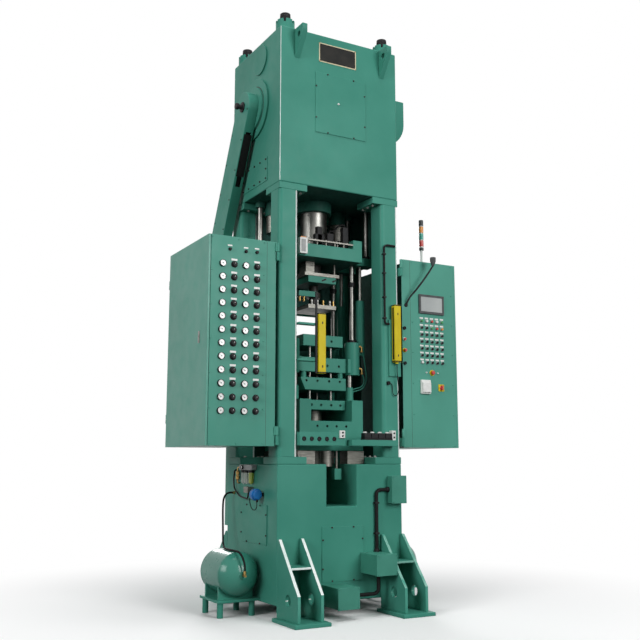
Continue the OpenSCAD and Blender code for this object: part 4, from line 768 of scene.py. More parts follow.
# belt guard: screws along both straight edges, a black strip of painted shade in its slot, and the encoder
# in its middle
guardForm = {"screw": 0.007, "inset": 0.028, "count": 7}
guardLow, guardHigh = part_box("belt_guard")
encoderLow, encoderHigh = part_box("encoder")
crank = Vector((guardLow.x, *middle((encoderLow, encoderHigh)).yz))
guardRadius = guardHigh.z - crank.z
pulley = Vector((guardLow.x, guardHigh.y - guardRadius, guardLow.z + guardRadius))
across = (pulley - crank).cross(left).normalized() * (guardRadius - guardForm["inset"])
guardPlaces = [crank.lerp(pulley, index / (guardForm["count"] - 1)) + side * across
               for index in range(guardForm["count"]) for side in (-1, 1)]
screws("guardScrews", guardPlaces, left, guardForm["screw"], "frame", "darkSteel")
shadeStripForm = {"run": (0.26, 0.72), "side": 0.010, "sunk": 0.002, "thick": 0.0015, "soft": 0.0006}
along = (pulley - crank).normalized()
outward = left.cross(along).normalized()
outward = outward if outward.y < 0 else -outward
sideways = along.cross(outward)
shadeStripHalf = (guardHigh.x - guardLow.x) / 2 - shadeStripForm["side"]
shadeStripStart, shadeStripEnd = shadeStripForm["run"]
# a black strip of painted shade in the slot
shadeStrip = block("slotLining", (-shadeStripHalf, shadeStripStart, -shadeStripForm["sunk"]),
               (shadeStripHalf, shadeStripEnd, shadeStripForm["thick"]), shadeStripForm["soft"])
shadeStripSpot = Vector(((guardLow.x + guardHigh.x) / 2, crank.y, crank.z)) + outward * guardRadius
shadeStripTurn = Matrix((sideways, along, outward)).transposed().to_4x4()
shadeStrip.data.transform(Matrix.Translation(shadeStripSpot) @ shadeStripTurn)
give(shadeStrip, "frame", "blackRubber")
encoderForm = {"profile": ((1, 0), (1, 0.12), (0.92, 0.18), (0.5, 0.22), (0.42, 0.52), (0.5, 0.58),
                           (0.62, 0.62),
                           (0.62, 0.94), (0.54, 1)), "sides": 28}
encoderSteps = scaled((encoderHigh.z - encoderLow.z) / 2, encoderHigh.x - encoderLow.x,
                      encoderForm["profile"])
shaftEncoder = turned("shaftEncoder", encoderSteps, (encoderHigh.x, crank.y, crank.z), left,
                      encoderForm["sides"])
give(shaftEncoder, "frame", "blackPlastic", "black", "encoder")
print("crown trim done")

# sheets behind and beside the tools: painted outside, with painted shade on their faces that look inward
# and to the front
rearGuard = dress("rear_guard", withPaintedShade, 0.0012)
paintFaces(rearGuard, 2, lambda face: face.normal.y < -0.5)
sheetForm = {"rear": (0.475, 0.481),
             "rearRows": ((-0.397, 0.397, 4.198, crownLow.z, 0.001), (0.40, 0.498, 2.778, 3.132, 0.0015)),
             "side": (0.660, 0.666), "soft": 0.0015, "gap": 0.365, "sill": 0.277, "post": 0.095}
gap, sill = sheetForm["gap"], sheetForm["sill"]
sideRows = ((-gap, gap, 3.62, 4.20), (-gap, gap, 1.515, 1.66), (-sill, sill, 1.445, 1.517),
            (-sill, sill, 4.198, crownLow.z), (sheetForm["post"], gap, 1.655, 3.625))
near, far = sheetForm["rear"]
sheets = [block("sheet", (start, near, low), (end, far, high), soft)
          for start, end, low, high, soft in sheetForm["rearRows"]]
near, far = sheetForm["side"]
sheets += [block("sheet", (near, start, low), (far, end, high), sheetForm["soft"])
           for start, end, low, high in sideRows]
sideSheets = give(joined("sideSheets", *sheets), "frame", ("machinePaint", "paintedShade"), "paint")
paintFaces(sideSheets, 1, lambda face: face.normal.x < -0.5 or face.normal.y < -0.5)


# crosshead: switch at its left end, rail bolts and dark collars on the guide rods
def recessed(name, box, border, recess, looks, soft):
    # a housing with a sunk front
    piece = block(name, *box, 0)
    choose(piece, "FACE", lambda face: face.normal.y < -0.5)
    bpy.ops.mesh.inset(thickness=border)
    bpy.ops.transform.translate(value=(0, recess, 0))
    endEdit()
    wearEdges(piece, looks, soft)
    return piece


switchForm = {"frame": 0.018, "recess": 0.006, "soft": 0.0025, "cap": (0.012, 0.008, 0.012),
              "capSoft": 0.004, "looks": ("whitePlastic", "whitePlastic", "greyPlastic")}
switchLow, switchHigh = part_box("limit_switch")
capX, capY, capHeight = switchForm["cap"]
limitSwitch = recessed("limitSwitch", (switchLow, switchHigh - up * capHeight), switchForm["frame"],
                       switchForm["recess"], switchForm["looks"], switchForm["soft"])
give(limitSwitch, "ram", switchForm["looks"], "gauge", "limit_switch")
paintFaces(limitSwitch, 2, lambda face: face.normal.y < -0.9 and face.center.y > switchLow.y + 0.004)
give(block("switchCap", (switchLow.x + capX, switchLow.y + capY, switchHigh.z - capHeight),
           switchHigh - Vector((capX, capY, 0)), switchForm["capSoft"]), "ram", "orangePlastic")
railForm = {"bolts": 5, "radius": 0.011}
railLow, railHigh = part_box("crosshead_rail")
railStep = (railHigh.x - railLow.x) / railForm["bolts"]
railSpots = [Vector((railLow.x + (index + 0.5) * railStep, (railLow.y + railHigh.y) / 2, railHigh.z))
             for index in range(railForm["bolts"])]
screws("railBolts", railSpots, up, railForm["radius"], "ram", kind=hexBolt)


def sleeve(name, outer, inner, place, height, soft=0.003):
    ring = turned(name, [(outer - soft, 0), (outer, soft), (outer, height - soft), (outer - soft, height)],
                  place, up, 28)
    cutOut(ring, turned("hole", [(inner, -0.01), (inner, height + 0.01)], place, up, 28))
    return ring


# the long guide rods reach into the crown, the lower ones run in the side cylinders
rodForm = {"height": 0.034, "proud": 0.014, "clampDrop": 0.235, "clampHeight": 0.05, "split": 2.8,
           "gland": 0.052, "glandTop": 2.73, "glandHeight": 0.03, "clearance": 0.003}
collars, cylinderRods = [], []
for low, high in solidBoxes("guide_rods"):
    spot, radius = middle((low, high)), (high.x - low.x) / 2
    proud = radius + rodForm["proud"]
    if high.z > crownLow.z:
        collars.append(sleeve("collar", proud, radius, (spot.x, spot.y, low.z), rodForm["height"]))
    elif low.z < rodForm["split"]:
        collars.append(sleeve("collar", proud, radius, (spot.x, spot.y, high.z - rodForm["clampDrop"]),
                              rodForm["clampHeight"]))
    if low.z < rodForm["split"]:
        cylinderRods.append((spot, radius))
give(joined("rodCollars", *collars), "ram", "blackPlastic")

# upper tool: steel with a dark adapter, a painted side arm and small fittings
punchForm = {"arm": (3.20, 3.29), "armEnd": -0.078, "core": 0.083, "adapters": ((3.125, 3.35), (3.47, 4)),
             "plateTop": 3.12, "jointLow": (-0.2005, -0.2005, 3.533),
             "jointHigh": (-0.0945, -0.0495, 3.538), "front": -0.172, "steel": (-0.115, -0.045, 0.105),
             "brass": (0.025, 0.148), "armBrass": (-0.205, -0.155), "armRow": (-0.07, 3.218),
             "fitting": ((0.017, 0), (0.017, 0.012), (0.011, 0.014), (0.011, 0.028), (0.015, 0.030),
                         (0.015, 0.050),
                         (0.011, 0.056))}
upperPunch = dress("upper_punch", ("groundSteel", "groundSteel", "machinePaint", "darkSteel"), 0.003)
armLow, armHigh = punchForm["arm"]
paintFaces(upperPunch, 2,
           lambda face: armLow < face.center.z < armHigh and face.center.x < punchForm["armEnd"])
paintFaces(upperPunch, 3,
           lambda face: face.center.xy.length < punchForm["core"] and abs(face.normal.z) < 0.9
           and any(low < face.center.z < high for low, high in punchForm["adapters"]))
give(block("blockJoint", punchForm["jointLow"], punchForm["jointHigh"], 0.001), "ram", "darkSteel")
slotForm = {"half": (0.028, 0.008), "thick": 0.0012, "soft": 0.0005, "turn": 24, "spots": (0.02, 0.148)}
platenLow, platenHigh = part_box("upper_platen")
slots = []
for spot in slotForm["spots"]:
    slot = slab("slot", *slotForm["half"], slotForm["thick"], slotForm["soft"])
    slot.data.transform(facing((spot, platenLow.y, (platenLow.z + platenHigh.z) / 2), ahead)
                        @ Matrix.Rotation(math.radians(slotForm["turn"]), 4, "Z"))
    slots.append(slot)
give(joined("platenSlots", *slots), "ram", "blackPlastic")
for name, look in (("steel", "zincBolt"), ("brass", "brass")):
    spots = [Vector((place, punchForm["front"], punchForm["plateTop"])) for place in punchForm[name]]
    give(repeated("plateFittings" if name == "steel" else "brassFittings",
                  turned("fitting", punchForm["fitting"], sides=12),
                  spots), "ram", look)
armY, armZ = punchForm["armRow"]
scatter("armFittings", turned("fitting", punchForm["fitting"], sides=12),
        [(place, armY, armZ) for place in punchForm["armBrass"]], down, "ram", "brass")

# tapped holes on the front faces of the plates, as dark rounds of painted shade
holeForm = {"radius": 0.0125, "profile": ((1, 0), (1, 0.0006), (0.86, 0.001), (0.8, -0.002)), "rows": {
    "punch_platen": (0.5, (-0.20, -0.07, 0.07, 0.20)), "yoke_plate": (0.5, (-0.17, -0.06, 0.06, 0.17)),
    "lower_platen": (0.45, (0.05, 0.19)), "bolster": (0.37, (-0.17, -0.055, 0.055, 0.17)),
    "die_plate": (0.5, (0.10,))}}
for node, (share, places) in holeForm["rows"].items():
    low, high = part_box(node)
    hole = turned("hole", scaled(holeForm["radius"], 1, holeForm["profile"]), sides=18)
    spots = [(place, low.y, low.z + share * (high.z - low.z)) for place in places]
    scatter("holes_" + node, hole, spots, ahead, bodyOf[node], "blackPlastic")

# glands on the side cylinders, brass elbows on the right one and oil lines from them to the bolster's boss
glands = [sleeve("gland", rodForm["gland"], radius + rodForm["clearance"],
                 (spot.x, spot.y, rodForm["glandTop"]),
                 rodForm["glandHeight"]) for spot, radius in cylinderRods]
give(joined("cylinderGlands", *glands), "frame", "blackPlastic")
elbowForm = {"place": (0.45, -0.262), "heights": (2.691, 2.453), "root": (-0.06, 0.02), "drop": 0.045,
             "radius": 0.011, "bend": 0.02, "nut": ((0.016, 0), (0.016, 0.014), (0.013, 0.017))}
elbowX, elbowY = elbowForm["place"]
rootX, rootY = elbowForm["root"]
elbows = []
for height in elbowForm["heights"]:
    end = (elbowX, elbowY, height - elbowForm["drop"])
    run = bent([(elbowX + rootX, elbowY + rootY, height), (elbowX, elbowY, height), end], elbowForm["bend"])
    elbows += [pipe("elbow", run, elbowForm["radius"]), turned("nut", elbowForm["nut"], end, down, 6)]
give(joined("brassElbows", *elbows), "frame", "brass")
oilLines = {"radius": 0.0065, "bend": 0.05, "runs": (
    ((0.45, -0.262, 2.645), (0.476, -0.262, 2.58), (0.512, -0.262, 2.344), (0.478, -0.250, 2.240),
     (0.366, -0.212, 2.205)),
    ((0.45, -0.262, 2.407), (0.480, -0.262, 2.345), (0.468, -0.250, 2.262), (0.366, -0.212, 2.232)))}
lines = [pipe("oilLine", bent(run, oilLines["bend"]), oilLines["radius"]) for run in oilLines["runs"]]
give(joined("oilLines", *lines), "frame", "machinePaint", "paint")

# dark valve bodies on the crosshead, with the tube between them
valveBodies = {"floor": 3.72, "depth": (-0.31, -0.25), "soft": 0.006, "tube": 0.011, "bend": 0.04,
               "spans": ((-0.145, -0.035, 0.145), (-0.120, -0.060, 0.225), (0.0, 0.080, 0.165),
                         (0.195, 0.262, 0.255)),
               "run": ((0.2285, 3.97), (0.2285, 4.01), (0.155, 3.99), (0.09, 3.915), (0.04, 3.915),
                       (0.04, 3.88))}
front, rear = valveBodies["depth"]
bodies = [block("valveBody", (start, front, valveBodies["floor"]),
                (end, rear, valveBodies["floor"] + height),
                valveBodies["soft"]) for start, end, height in valveBodies["spans"]]
give(joined("crossheadValves", *bodies), "ram", "blackPlastic", "black")
valveRun = bent([(x, (front + rear) / 2, z) for x, z in valveBodies["run"]], valveBodies["bend"])
give(pipe("valveTube", valveRun, valveBodies["tube"]), "ram", "blackRubber")
print("tool space done")

# trays: connectors in the ports, pale end blocks, valve row with white knobs
portForm = {"places": (-0.11, -0.195, -0.28, -0.365, -0.45), "height": 1.69, "radius": 0.020,
            "profile": ((1, -0.02), (1, 0.004), (0.8, 0.007), (0.7, 0.007), (0.62, 0.001))}
trayFront = solidBoxes("front_trays")[0][0].y
connector = turned("connector", scaled(portForm["radius"], 1, portForm["profile"]), sides=24)
scatter("trayPorts", connector, [(place, trayFront, portForm["height"]) for place in portForm["places"]],
        ahead, "frame", "blackPlastic")
endForm = {"soft": 0.004, "socket": 0.009, "shares": (0.3, 0.72),
           "boxes": (((-0.058, -0.665, 1.70), (0.0, -0.640, 1.775)),
                     ((0.562, -0.665, 1.685), (0.607, -0.605, 1.785)))}
endBlocks = [block("endBlock", *box, endForm["soft"]) for box in endForm["boxes"]]
give(joined("endBlocks", *endBlocks), "frame", "whitePlastic")
dots = [Vector(((low[0] + high[0]) / 2, low[1], low[2] + share * (high[2] - low[2])))
        for low, high in endForm["boxes"] for share in endForm["shares"]]
screws("endBlockSockets", dots, ahead, endForm["socket"], "frame", "blackPlastic")
valveForm = {"knobs": (0.241, 0.330, 0.419, 0.508), "knobRise": 0.014, "foot": 0.016, "gap": 0.004,
             "soft": 0.006,
             "knob": ((0.019, 0), (0.021, 0.003), (0.021, 0.010), (0.016, 0.0135), (0.007, 0.014))}
valveLow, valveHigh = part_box("valve_manifold")
valveTop, valveFoot = valveHigh.z - valveForm["knobRise"], valveLow.z + valveForm["foot"]
valveWidth, gap = (valveHigh.x - valveLow.x) / len(valveForm["knobs"]), valveForm["gap"]
valveBlocks = [block("valve", valveLow, (valveHigh.x, valveHigh.y, valveFoot), 0.002)]
for index in range(len(valveForm["knobs"])):
    start = valveLow.x + index * valveWidth
    valveBlocks.append(block("valve", (start + gap / 2, valveLow.y + gap, valveFoot),
                             (start + valveWidth - gap / 2, valveHigh.y - gap, valveTop), valveForm["soft"],
                             3))
give(joined("valveRow", *valveBlocks), "frame", "blackPlastic", "black", "valve_manifold")
valveSpots = [Vector((place, (valveLow.y + valveHigh.y) / 2, valveTop)) for place in valveForm["knobs"]]
give(repeated("valveKnobs", turned("valveKnob", valveForm["knob"], sides=20), valveSpots), "frame",
     "whitePlastic")

# junction boxes with screwed lids, and the conduits between them
dress("junction_boxes", ("boxPaint", "wornEdge"), 0.004)
lidForm = {"proud": 0.004, "thick": 0.012, "soft": 0.003, "screw": 0.006, "inset": 0.016}
frontBoxes = [box for box in solidBoxes("junction_boxes") if box[0].y < crownLow.y]
lids, lidPlaces = [], []
for low, high in frontBoxes:
    grow = Vector((lidForm["proud"], 0, lidForm["proud"]))
    lid = (low - grow + ahead * lidForm["thick"] / 2,
           Vector((high.x, low.y + lidForm["thick"], high.z)) + grow)
    lids.append(block("lid", *lid, lidForm["soft"]))
    lidPlaces += rim(lid, ahead, lidForm["inset"], 2, 2)
give(joined("boxLids", *lids), "frame", "boxPaint", "paint")
screws("lidScrews", lidPlaces, ahead, lidForm["screw"], "frame", "boxPaint")
lowBox, middleBox, upperBox = frontBoxes
conduitForm = {"radius": 0.018, "bend": 0.06, "wall": -0.617, "upperRun": (0.391, 1.19),
               "lowRun": (0.32, -0.75, 0.1995), "thin": 0.012, "thinBend": 0.05,
               "thinRun": ((0.656, -0.597, 3.75), (0.656, -0.617, 3.75), (0.518, -0.617, 3.75),
                           (0.518, -0.617, 2.90), (0.572, -0.617, 2.90)),
               "plug": ((0.545, -0.621, 2.26), (0.575, -0.595, 2.296)),
               "nut": ((0.028, 0), (0.028, 0.016), (0.022, 0.03)),
               "clips": ((0.518, 0.018, -0.632, 0.008, 0.003, (3.65, 3.443, 3.184, 2.96)),
                         (0.391, 0.025, -0.638, 0.010, 0.004, (1.06, 0.76))), "clipBack": -0.594}
(upperX, upperZ), wall = conduitForm["upperRun"], conduitForm["wall"]
upperPoints = [(upperBox[0].x, wall, upperZ), (upperX, wall, upperZ), (upperX, wall, middleBox[1].z)]
lowX, lowY, lowZ = conduitForm["lowRun"]
lowPoints = [(lowX, lowY, middleBox[0].z), (lowX, lowY, lowZ), (lowBox[1].x, lowY, lowZ)]
runs = [pipe("run", bent(points, conduitForm["bend"]), conduitForm["radius"])
        for points in (upperPoints, lowPoints)]
runs.append(pipe("run", bent(conduitForm["thinRun"], conduitForm["thinBend"]), conduitForm["thin"]))
runs.append(block("plugBlock", *conduitForm["plug"]))
give(joined("conduitRuns", *runs), "frame", "blackRubber", "rubber", "conduits")
nuts = [turned("nut", conduitForm["nut"], place, axis, 8) for place, axis in (
    (upperPoints[0], left), (upperPoints[-1], up), (lowPoints[0], down), (lowPoints[-1], right))]
give(joined("conduitNuts", *nuts), "frame", "blackPlastic")
clips = [block("clip", (place - half, front, height - rise),
               (place + half, conduitForm["clipBack"], height + rise), soft)
         for place, half, front, rise, soft, heights in conduitForm["clips"] for height in heights]
give(joined("conduitClips", *clips), "frame", "blackPlastic")
print("trays and conduits done")

# light curtains: yellow housings, black lens strips, marks and end caps
curtainForm = {"soft": 0.006, "gland": 0.016, "glandRise": 0.015, "lens": 0.002, "lensInset": (0.018, 0.03),
               "mark": (0.006, 0.012), "markSpots": (0.07, 0.10), "markProud": 0.0008, "cap": 0.006,
               "capProud": 0.0015, "capSpots": (0.010, 0.008),
               "strip": ((-0.028, -0.628, 2.335), (-0.004, -0.613, 3.16))}
curtainBoxes = solidBoxes("light_curtains")
for index, (low, high) in enumerate(curtainBoxes):
    side = "Left" if low.x < 0 else "Right"
    centre = middle((low, high))
    foot = low.z + (curtainForm["glandRise"] if side == "Right" else 0)
    parts = [block("curtain", (low.x, low.y, foot), high, curtainForm["soft"], 3)]
    if side == "Right":
        glandSteps = [(curtainForm["gland"], 0), (curtainForm["gland"], curtainForm["glandRise"])]
        parts.append(turned("gland", glandSteps, (centre.x, centre.y, low.z), up, 12))
    curtain = joined("curtain" + side, *parts)
    give(curtain, "frame", "yellowCoat", "yellow", *(["light_curtains"] if index == 0 else []))
    lens, (insetY, insetZ) = curtainForm["lens"], curtainForm["lensInset"]
    inward = high.x if side == "Left" else low.x
    give(block("curtainLens" + side, (inward - lens, low.y + insetY, foot + insetZ),
               (inward + lens, high.y - insetY, high.z - insetZ), 0.001), "frame", "blackPlastic")
    (half, rise), (lowest, highest) = curtainForm["mark"], curtainForm["markSpots"]
    marks = [block("mark", (centre.x - half, low.y - curtainForm["markProud"], height - rise),
                   (centre.x + half, low.y + 0.002, height + rise), 0.0006, 1)
             for height in (foot + lowest, high.z - highest)]
    give(joined("curtainMarks" + side, *marks), "frame", "blackPlastic")
    (lowest, highest), proud, rise = curtainForm["capSpots"], curtainForm["capProud"], curtainForm["cap"]
    caps = [block("cap", (low.x - proud, low.y - proud, height - rise),
                  (high.x + proud, high.y + proud, height + rise))
            for height in (foot + lowest, high.z - highest)]
    give(joined("curtainCaps" + side, *caps), "frame", "blackPlastic")
curtainSide = right * curtainBoxes[0][0].x
give(block("curtainStrip", *(curtainSide + Vector(corner) for corner in curtainForm["strip"]), 0.004),
     "frame", "blackPlastic")


# cabinet panels: seams, screws and plates are alike on both
panelFace = -0.600
panelForm = {"inset": 0.022, "screw": 0.006, "edge": 0.012, "seamEnd": 0.004, "seamProud": 0.0006}


def panelTrim(name, body, look, box, start, end, seam):
    low, high = box
    panel = (Vector((start, panelFace, low.z)), Vector((end, panelFace, high.z)))
    screws(name + "Screws", rim(panel, ahead, panelForm["inset"], 3, 7), ahead, panelForm["screw"], body,
           look)
    give(block(name + "Seam", (seam[0], panelFace - panelForm["seamProud"], low.z + panelForm["seamEnd"]),
               (seam[1], panelFace + 0.001, high.z - panelForm["seamEnd"]), 0.0004, 1), body, "darkSteel")


def onPanel(name, place, half, depth, soft, segments=2):
    # a block on the panel, from the nearer to the farther depth in front of it
    return block(name, (place[0] - half[0], panelFace - depth[1], place[1] - half[1]),
                 (place[0] + half[0], panelFace - depth[0], place[1] + half[1]), soft, segments)


# left cabinet: small switches with plates, panel screws, the folded seam and the door latch
leftForm = {"switches": ((-1.247, 3.496), (-1.078, 3.491), (-0.96, 3.495)), "plate": (0.024, 0.007),
            "rise": 0.036,
            "switch": ((0.017, 0), (0.017, 0.006), (0.012, 0.008), (0.012, 0.022), (0.009, 0.024)),
            "panelEnd": -0.86, "seam": (-0.850, -0.8475)}
cabinetLow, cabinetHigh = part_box("left_cabinet")
switchSpots = [Vector((x, panelFace, z)) for x, z in leftForm["switches"]]
scatter("panelSwitches", turned("selector", leftForm["switch"], sides=18), switchSpots, ahead,
        "left_cabinet", "blackPlastic")
scatter("switchLabels", slab("plate", *leftForm["plate"], labelForm["thick"], labelForm["soft"]),
        [place + up * leftForm["rise"] for place in switchSpots], ahead, "left_cabinet", "whitePlastic")
panelTrim("panel", "left_cabinet", "cabinetPaint", (cabinetLow, cabinetHigh),
          cabinetLow.x + panelForm["edge"], leftForm["panelEnd"], leftForm["seam"])
latchForm = {"place": (-0.394, 2.648), "half": (0.020, 0.058), "thick": 0.005, "sunk": 0.001,
             "leverHalf": 0.010, "lever": (-0.045, 0.02), "leverDepth": (0.010, 0.004)}
(latchY, latchZ), (halfY, halfZ) = latchForm["place"], latchForm["half"]
latch = block("doorLatch", (cabinetLow.x - latchForm["thick"], latchY - halfY, latchZ - halfZ),
              (cabinetLow.x + latchForm["sunk"], latchY + halfY, latchZ + halfZ), 0.002)
(leverFoot, leverTop), (outerX, innerX) = latchForm["lever"], latchForm["leverDepth"]
lever = block("lever", (cabinetLow.x - outerX, latchY - latchForm["leverHalf"], latchZ + leverFoot),
              (cabinetLow.x - innerX, latchY + latchForm["leverHalf"], latchZ + leverTop), 0.0025)
give(joined("doorLatch", latch, lever), "left_door", "zincBolt")

# right cabinet: screen and buttons with plates
screenForm = {"border": 0.026, "recess": 0.003, "soft": 0.002,
              "looks": ("slatePlastic", "slatePlastic", "screenGlass")}
controlBoxes = solidBoxes("operator_controls")
screenBox = max(controlBoxes, key=lambda box: box[1].x - box[0].x)
screen = recessed("screen", screenBox, screenForm["border"], screenForm["recess"], screenForm["looks"],
                  screenForm["soft"])
give(screen, "right_cabinet", screenForm["looks"], "gauge", "operator_controls")
paintFaces(screen, 2, lambda face: face.normal.y < -0.9 and face.area > 0.01)
buttonForm = {"collar": ((1, 0), (1, 0.3), (0.9, 0.42)), "cap": ((0.78, 0), (0.78, 0.86), (0.64, 1)),
              "plate": (0.023, 0.009),
              "rise": 0.031, "looks": {0: ("green", "white", "red", "white", "green"),
                                       1: ("black", "black", "green", "red", "orange"),
                                       6: ("white", "black", "black", "black", "black")}}
buttonBoxes = [box for box in controlBoxes if box is not screenBox]
buttonRows = sorted({round(middle(box).z, 2) for box in buttonBoxes}, reverse=True)
buttonColumns = sorted({round(middle(box).x, 2) for box in buttonBoxes})
buttonRadius, buttonDepth = roundSize(buttonBoxes[0])
buttonPlaces = {}
for box in buttonBoxes:
    row, column = buttonRows.index(round(middle(box).z, 2)), buttonColumns.index(round(middle(box).x, 2))
    colour = buttonForm["looks"].get(row, ("black",) * 5)[column]
    buttonPlaces.setdefault(colour, []).append(footSpot(box))
allPlaces = [place for places in buttonPlaces.values() for place in places]
scatter("buttonCollars",
        turned("collar", scaled(buttonRadius, buttonDepth, buttonForm["collar"]), sides=20), allPlaces,
        ahead, "right_cabinet", "greyPlastic")
for colour, places in buttonPlaces.items():
    cap = turned("cap", scaled(buttonRadius, buttonDepth, buttonForm["cap"]), sides=20)
    scatter("buttons_" + colour, cap, places, ahead, "right_cabinet", colour + "Plastic")
scatter("buttonLabels", slab("plate", *buttonForm["plate"], labelForm["thick"], labelForm["soft"]),
        [place + up * buttonForm["rise"] for place in allPlaces], ahead, "right_cabinet", "whitePlastic")

# stop buttons with pale dots, and the lamps on the hinge strip
stopForm = {"panel": (1.128, 2.412, 0.032, 0.022), "strip": (0.775, 2.637, 0.024, 0.017),
            "dots": (-0.075, 0.075), "dot": 0.009, "base": ((1, 0), (1, 0.004), (0.92, 0.006)),
            "rings": (2.874, 2.499), "ring": 0.019, "lampHeight": 2.755,
            "head": ((0.6, 0.005), (0.6, 0.014), (1, 0.018), (1, 0.028), (0.7, 0.034)),
            "lamp": ((0.019, 0), (0.019, 0.008), (0.014, 0.010), (0.014, 0.022), (0.009, 0.027)),
            "lampBase": 0.0095}
stopBases, stopHeads = [], []
for x, z, base, head in (stopForm["panel"], stopForm["strip"]):
    stopBases.append(turned("base", scaled(base, 1, stopForm["base"]), (x, panelFace, z), ahead, 28))
    stopHeads.append(turned("head", scaled(head, 1, stopForm["head"]), (x, panelFace, z), ahead, 24))
give(joined("stopBases", *stopBases), "right_cabinet", "yellowCoat", "yellow")
give(joined("stopHeads", *stopHeads), "right_cabinet", "redPlastic")
stopX, stopZ = stopForm["panel"][:2]
stripX = stopForm["strip"][0]
screws("paleDots", [Vector((stopX + offset, panelFace, stopZ)) for offset in stopForm["dots"]], ahead,
       stopForm["dot"], "right_cabinet", "whitePlastic")
screws("stripRings", [Vector((stripX, panelFace, height)) for height in stopForm["rings"]], ahead,
       stopForm["ring"], "right_cabinet", "blackPlastic")
stripLamp = turned("stripLamp", stopForm["lamp"], (stripX, panelFace, stopForm["lampHeight"]), ahead, 20)
give(stripLamp, "right_cabinet", ("whitePlastic", "redPlastic"))
paintFaces(stripLamp, 1, lambda face: face.center.y < panelFace - stopForm["lampBase"])

# socket, rotary switch, panel screws and seam
socketForm = {"place": (1.032, 2.257), "half": (0.062, 0.075), "depth": (0.027, 0.045), "soft": 0.006,
              "lidPlace": (1.032, 2.25175), "lidHalf": (0.05332, 0.05475)}
socketBody = onPanel("socket", socketForm["place"], socketForm["half"], (0, socketForm["depth"][0]),
                     socketForm["soft"], 3)
socketLid = onPanel("lid", socketForm["lidPlace"], socketForm["lidHalf"], socketForm["depth"],
                    socketForm["soft"], 3)
give(joined("socketBox", socketBody, socketLid), "right_cabinet", "whitePlastic")
rotaryForm = {"place": (1.244, 2.255), "half": (0.038, 0.038), "thick": 0.008, "grip": (0.008, 0.028),
              "gripDepth": (0.016, 0.040),
              "soft": 0.004, "hub": ((0.024, 0.008), (0.024, 0.016), (0.020, 0.019))}
rotaryX, rotaryZ = rotaryForm["place"]
give(onPanel("rotaryPlate", rotaryForm["place"], rotaryForm["half"], (0, rotaryForm["thick"]),
             rotaryForm["soft"]),
     "right_cabinet", "yellowCoat", "yellow")
rotaryHub = turned("hub", rotaryForm["hub"], (rotaryX, panelFace, rotaryZ), ahead, 24)
rotaryGrip = onPanel("grip", rotaryForm["place"], rotaryForm["grip"], rotaryForm["gripDepth"],
                     rotaryForm["soft"])
give(joined("rotarySwitch", rotaryHub, rotaryGrip), "right_cabinet", "redPlastic")
controlForm = {"panelStart": 0.86, "seam": (0.8575, 0.860)}
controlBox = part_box("right_cabinet")
panelTrim("control", "right_cabinet", "controlPaint", controlBox,
          controlForm["panelStart"], controlBox[1].x - panelForm["edge"], controlForm["seam"])
print("cabinets done")

# stack light and work lamp on the right cabinet
stackForm = {"pole": ((0.026, 0), (0.026, 0.008), (0.013, 0.012), (0.013, 0.20)), "poleHeight": 0.20,
             "radius": 0.026, "waist": 0.92, "soft": 0.004, "rows": (
                 ("slatePlastic", 0.030), ("whitePlastic", 0.012), ("redPlastic", 0.072),
                 ("whitePlastic", 0.008), ("tealPlastic", 0.072), ("whitePlastic", 0.008),
                 ("orangePlastic", 0.072), ("whitePlastic", 0.008),
                 ("slatePlastic", 0.068))}
stackBox = solidBoxes("cabinet_lamps")[1]
stackX, stackY = middle(stackBox).xy
stackPole = turned("stackPole", stackForm["pole"], (stackX, stackY, stackBox[0].z), up, 20)
give(stackPole, "right_cabinet", "whitePlastic", "black", "cabinet_lamps")
height, ring, soft = stackBox[0].z + stackForm["poleHeight"], stackForm["radius"], stackForm["soft"]
for index, (look, tall) in enumerate(stackForm["rows"]):
    waist = ring * stackForm["waist"]
    lens = turned("stackLens%d" % index, [(waist, 0), (ring, soft), (ring, tall - soft), (waist, tall)],
                  (stackX, stackY, height), up, 28)
    give(lens, "right_cabinet", look)
    height += tall
neckForm = {"radius": 0.010, "start": (0.80, -0.607, 3.125), "reach": (0.27, -0.128, 0.435),
            "shares": ((0, 0, 0), (0.055, 0.26, 0.15), (0.3, 0.65, 0.38), (0.78, 0.92, 0.79), (1, 1, 1)),
            "base": ((0.020, 0), (0.020, 0.010), (0.015, 0.016)),
            "head": ((0.014, 0), (0.020, 0.014), (0.031, 0.045), (0.032, 0.088), (0.027, 0.090),
                     (0.026, 0.076))}
neckStart = Vector(neckForm["start"])
neckPoints = [neckStart + Vector(share * run for share, run in zip(shares, neckForm["reach"]))
              for shares in neckForm["shares"]]
neck = pipe("neck", neckPoints, neckForm["radius"], True)
neckBase = turned("neckBase", neckForm["base"], (neckStart.x, panelFace, neckStart.z), ahead, 20)
give(joined("lampNeck", neck, neckBase), "right_cabinet", "blackPlastic")
give(turned("lampHead", neckForm["head"], neckPoints[-1], up, 28), "right_cabinet", "slatePlastic")

# air unit on the base: regulator block with its gauge, and the bowls below it
airForm = {"low": (-0.775, -0.130, 1.385), "high": (-0.715, 0.170, 1.440), "soft": 0.006,
           "gaugePlace": 0.082,
           "gauge": ((0.020, 0), (0.022, 0.004), (0.022, 0.014), (0.018, 0.016), (0.018, 0.012)),
           "bowls": ((0.12, "bowlClear"), (0.045, "bowlClear"), (-0.06, "bowlGreen")), "bowlX": -0.745,
           "bowl": 0.026, "collar": ((1.08, 0), (1.08, 0.022), (1, 0.026)),
           "bowlSteps": ((0.94, 0.02), (0.94, 0.12), (0.7, 0.132), (0.28, 0.134), (0.28, 0.14))}
airLow, airHigh = Vector(airForm["low"]), Vector(airForm["high"])
give(block("airHeader", airLow, airHigh, airForm["soft"], 3), "frame", "greyPlastic", "steel", "air_unit")
gauge = turned("gauge", airForm["gauge"], (airLow.x, airForm["gaugePlace"], (airLow.z + airHigh.z) / 2),
               left, 24)
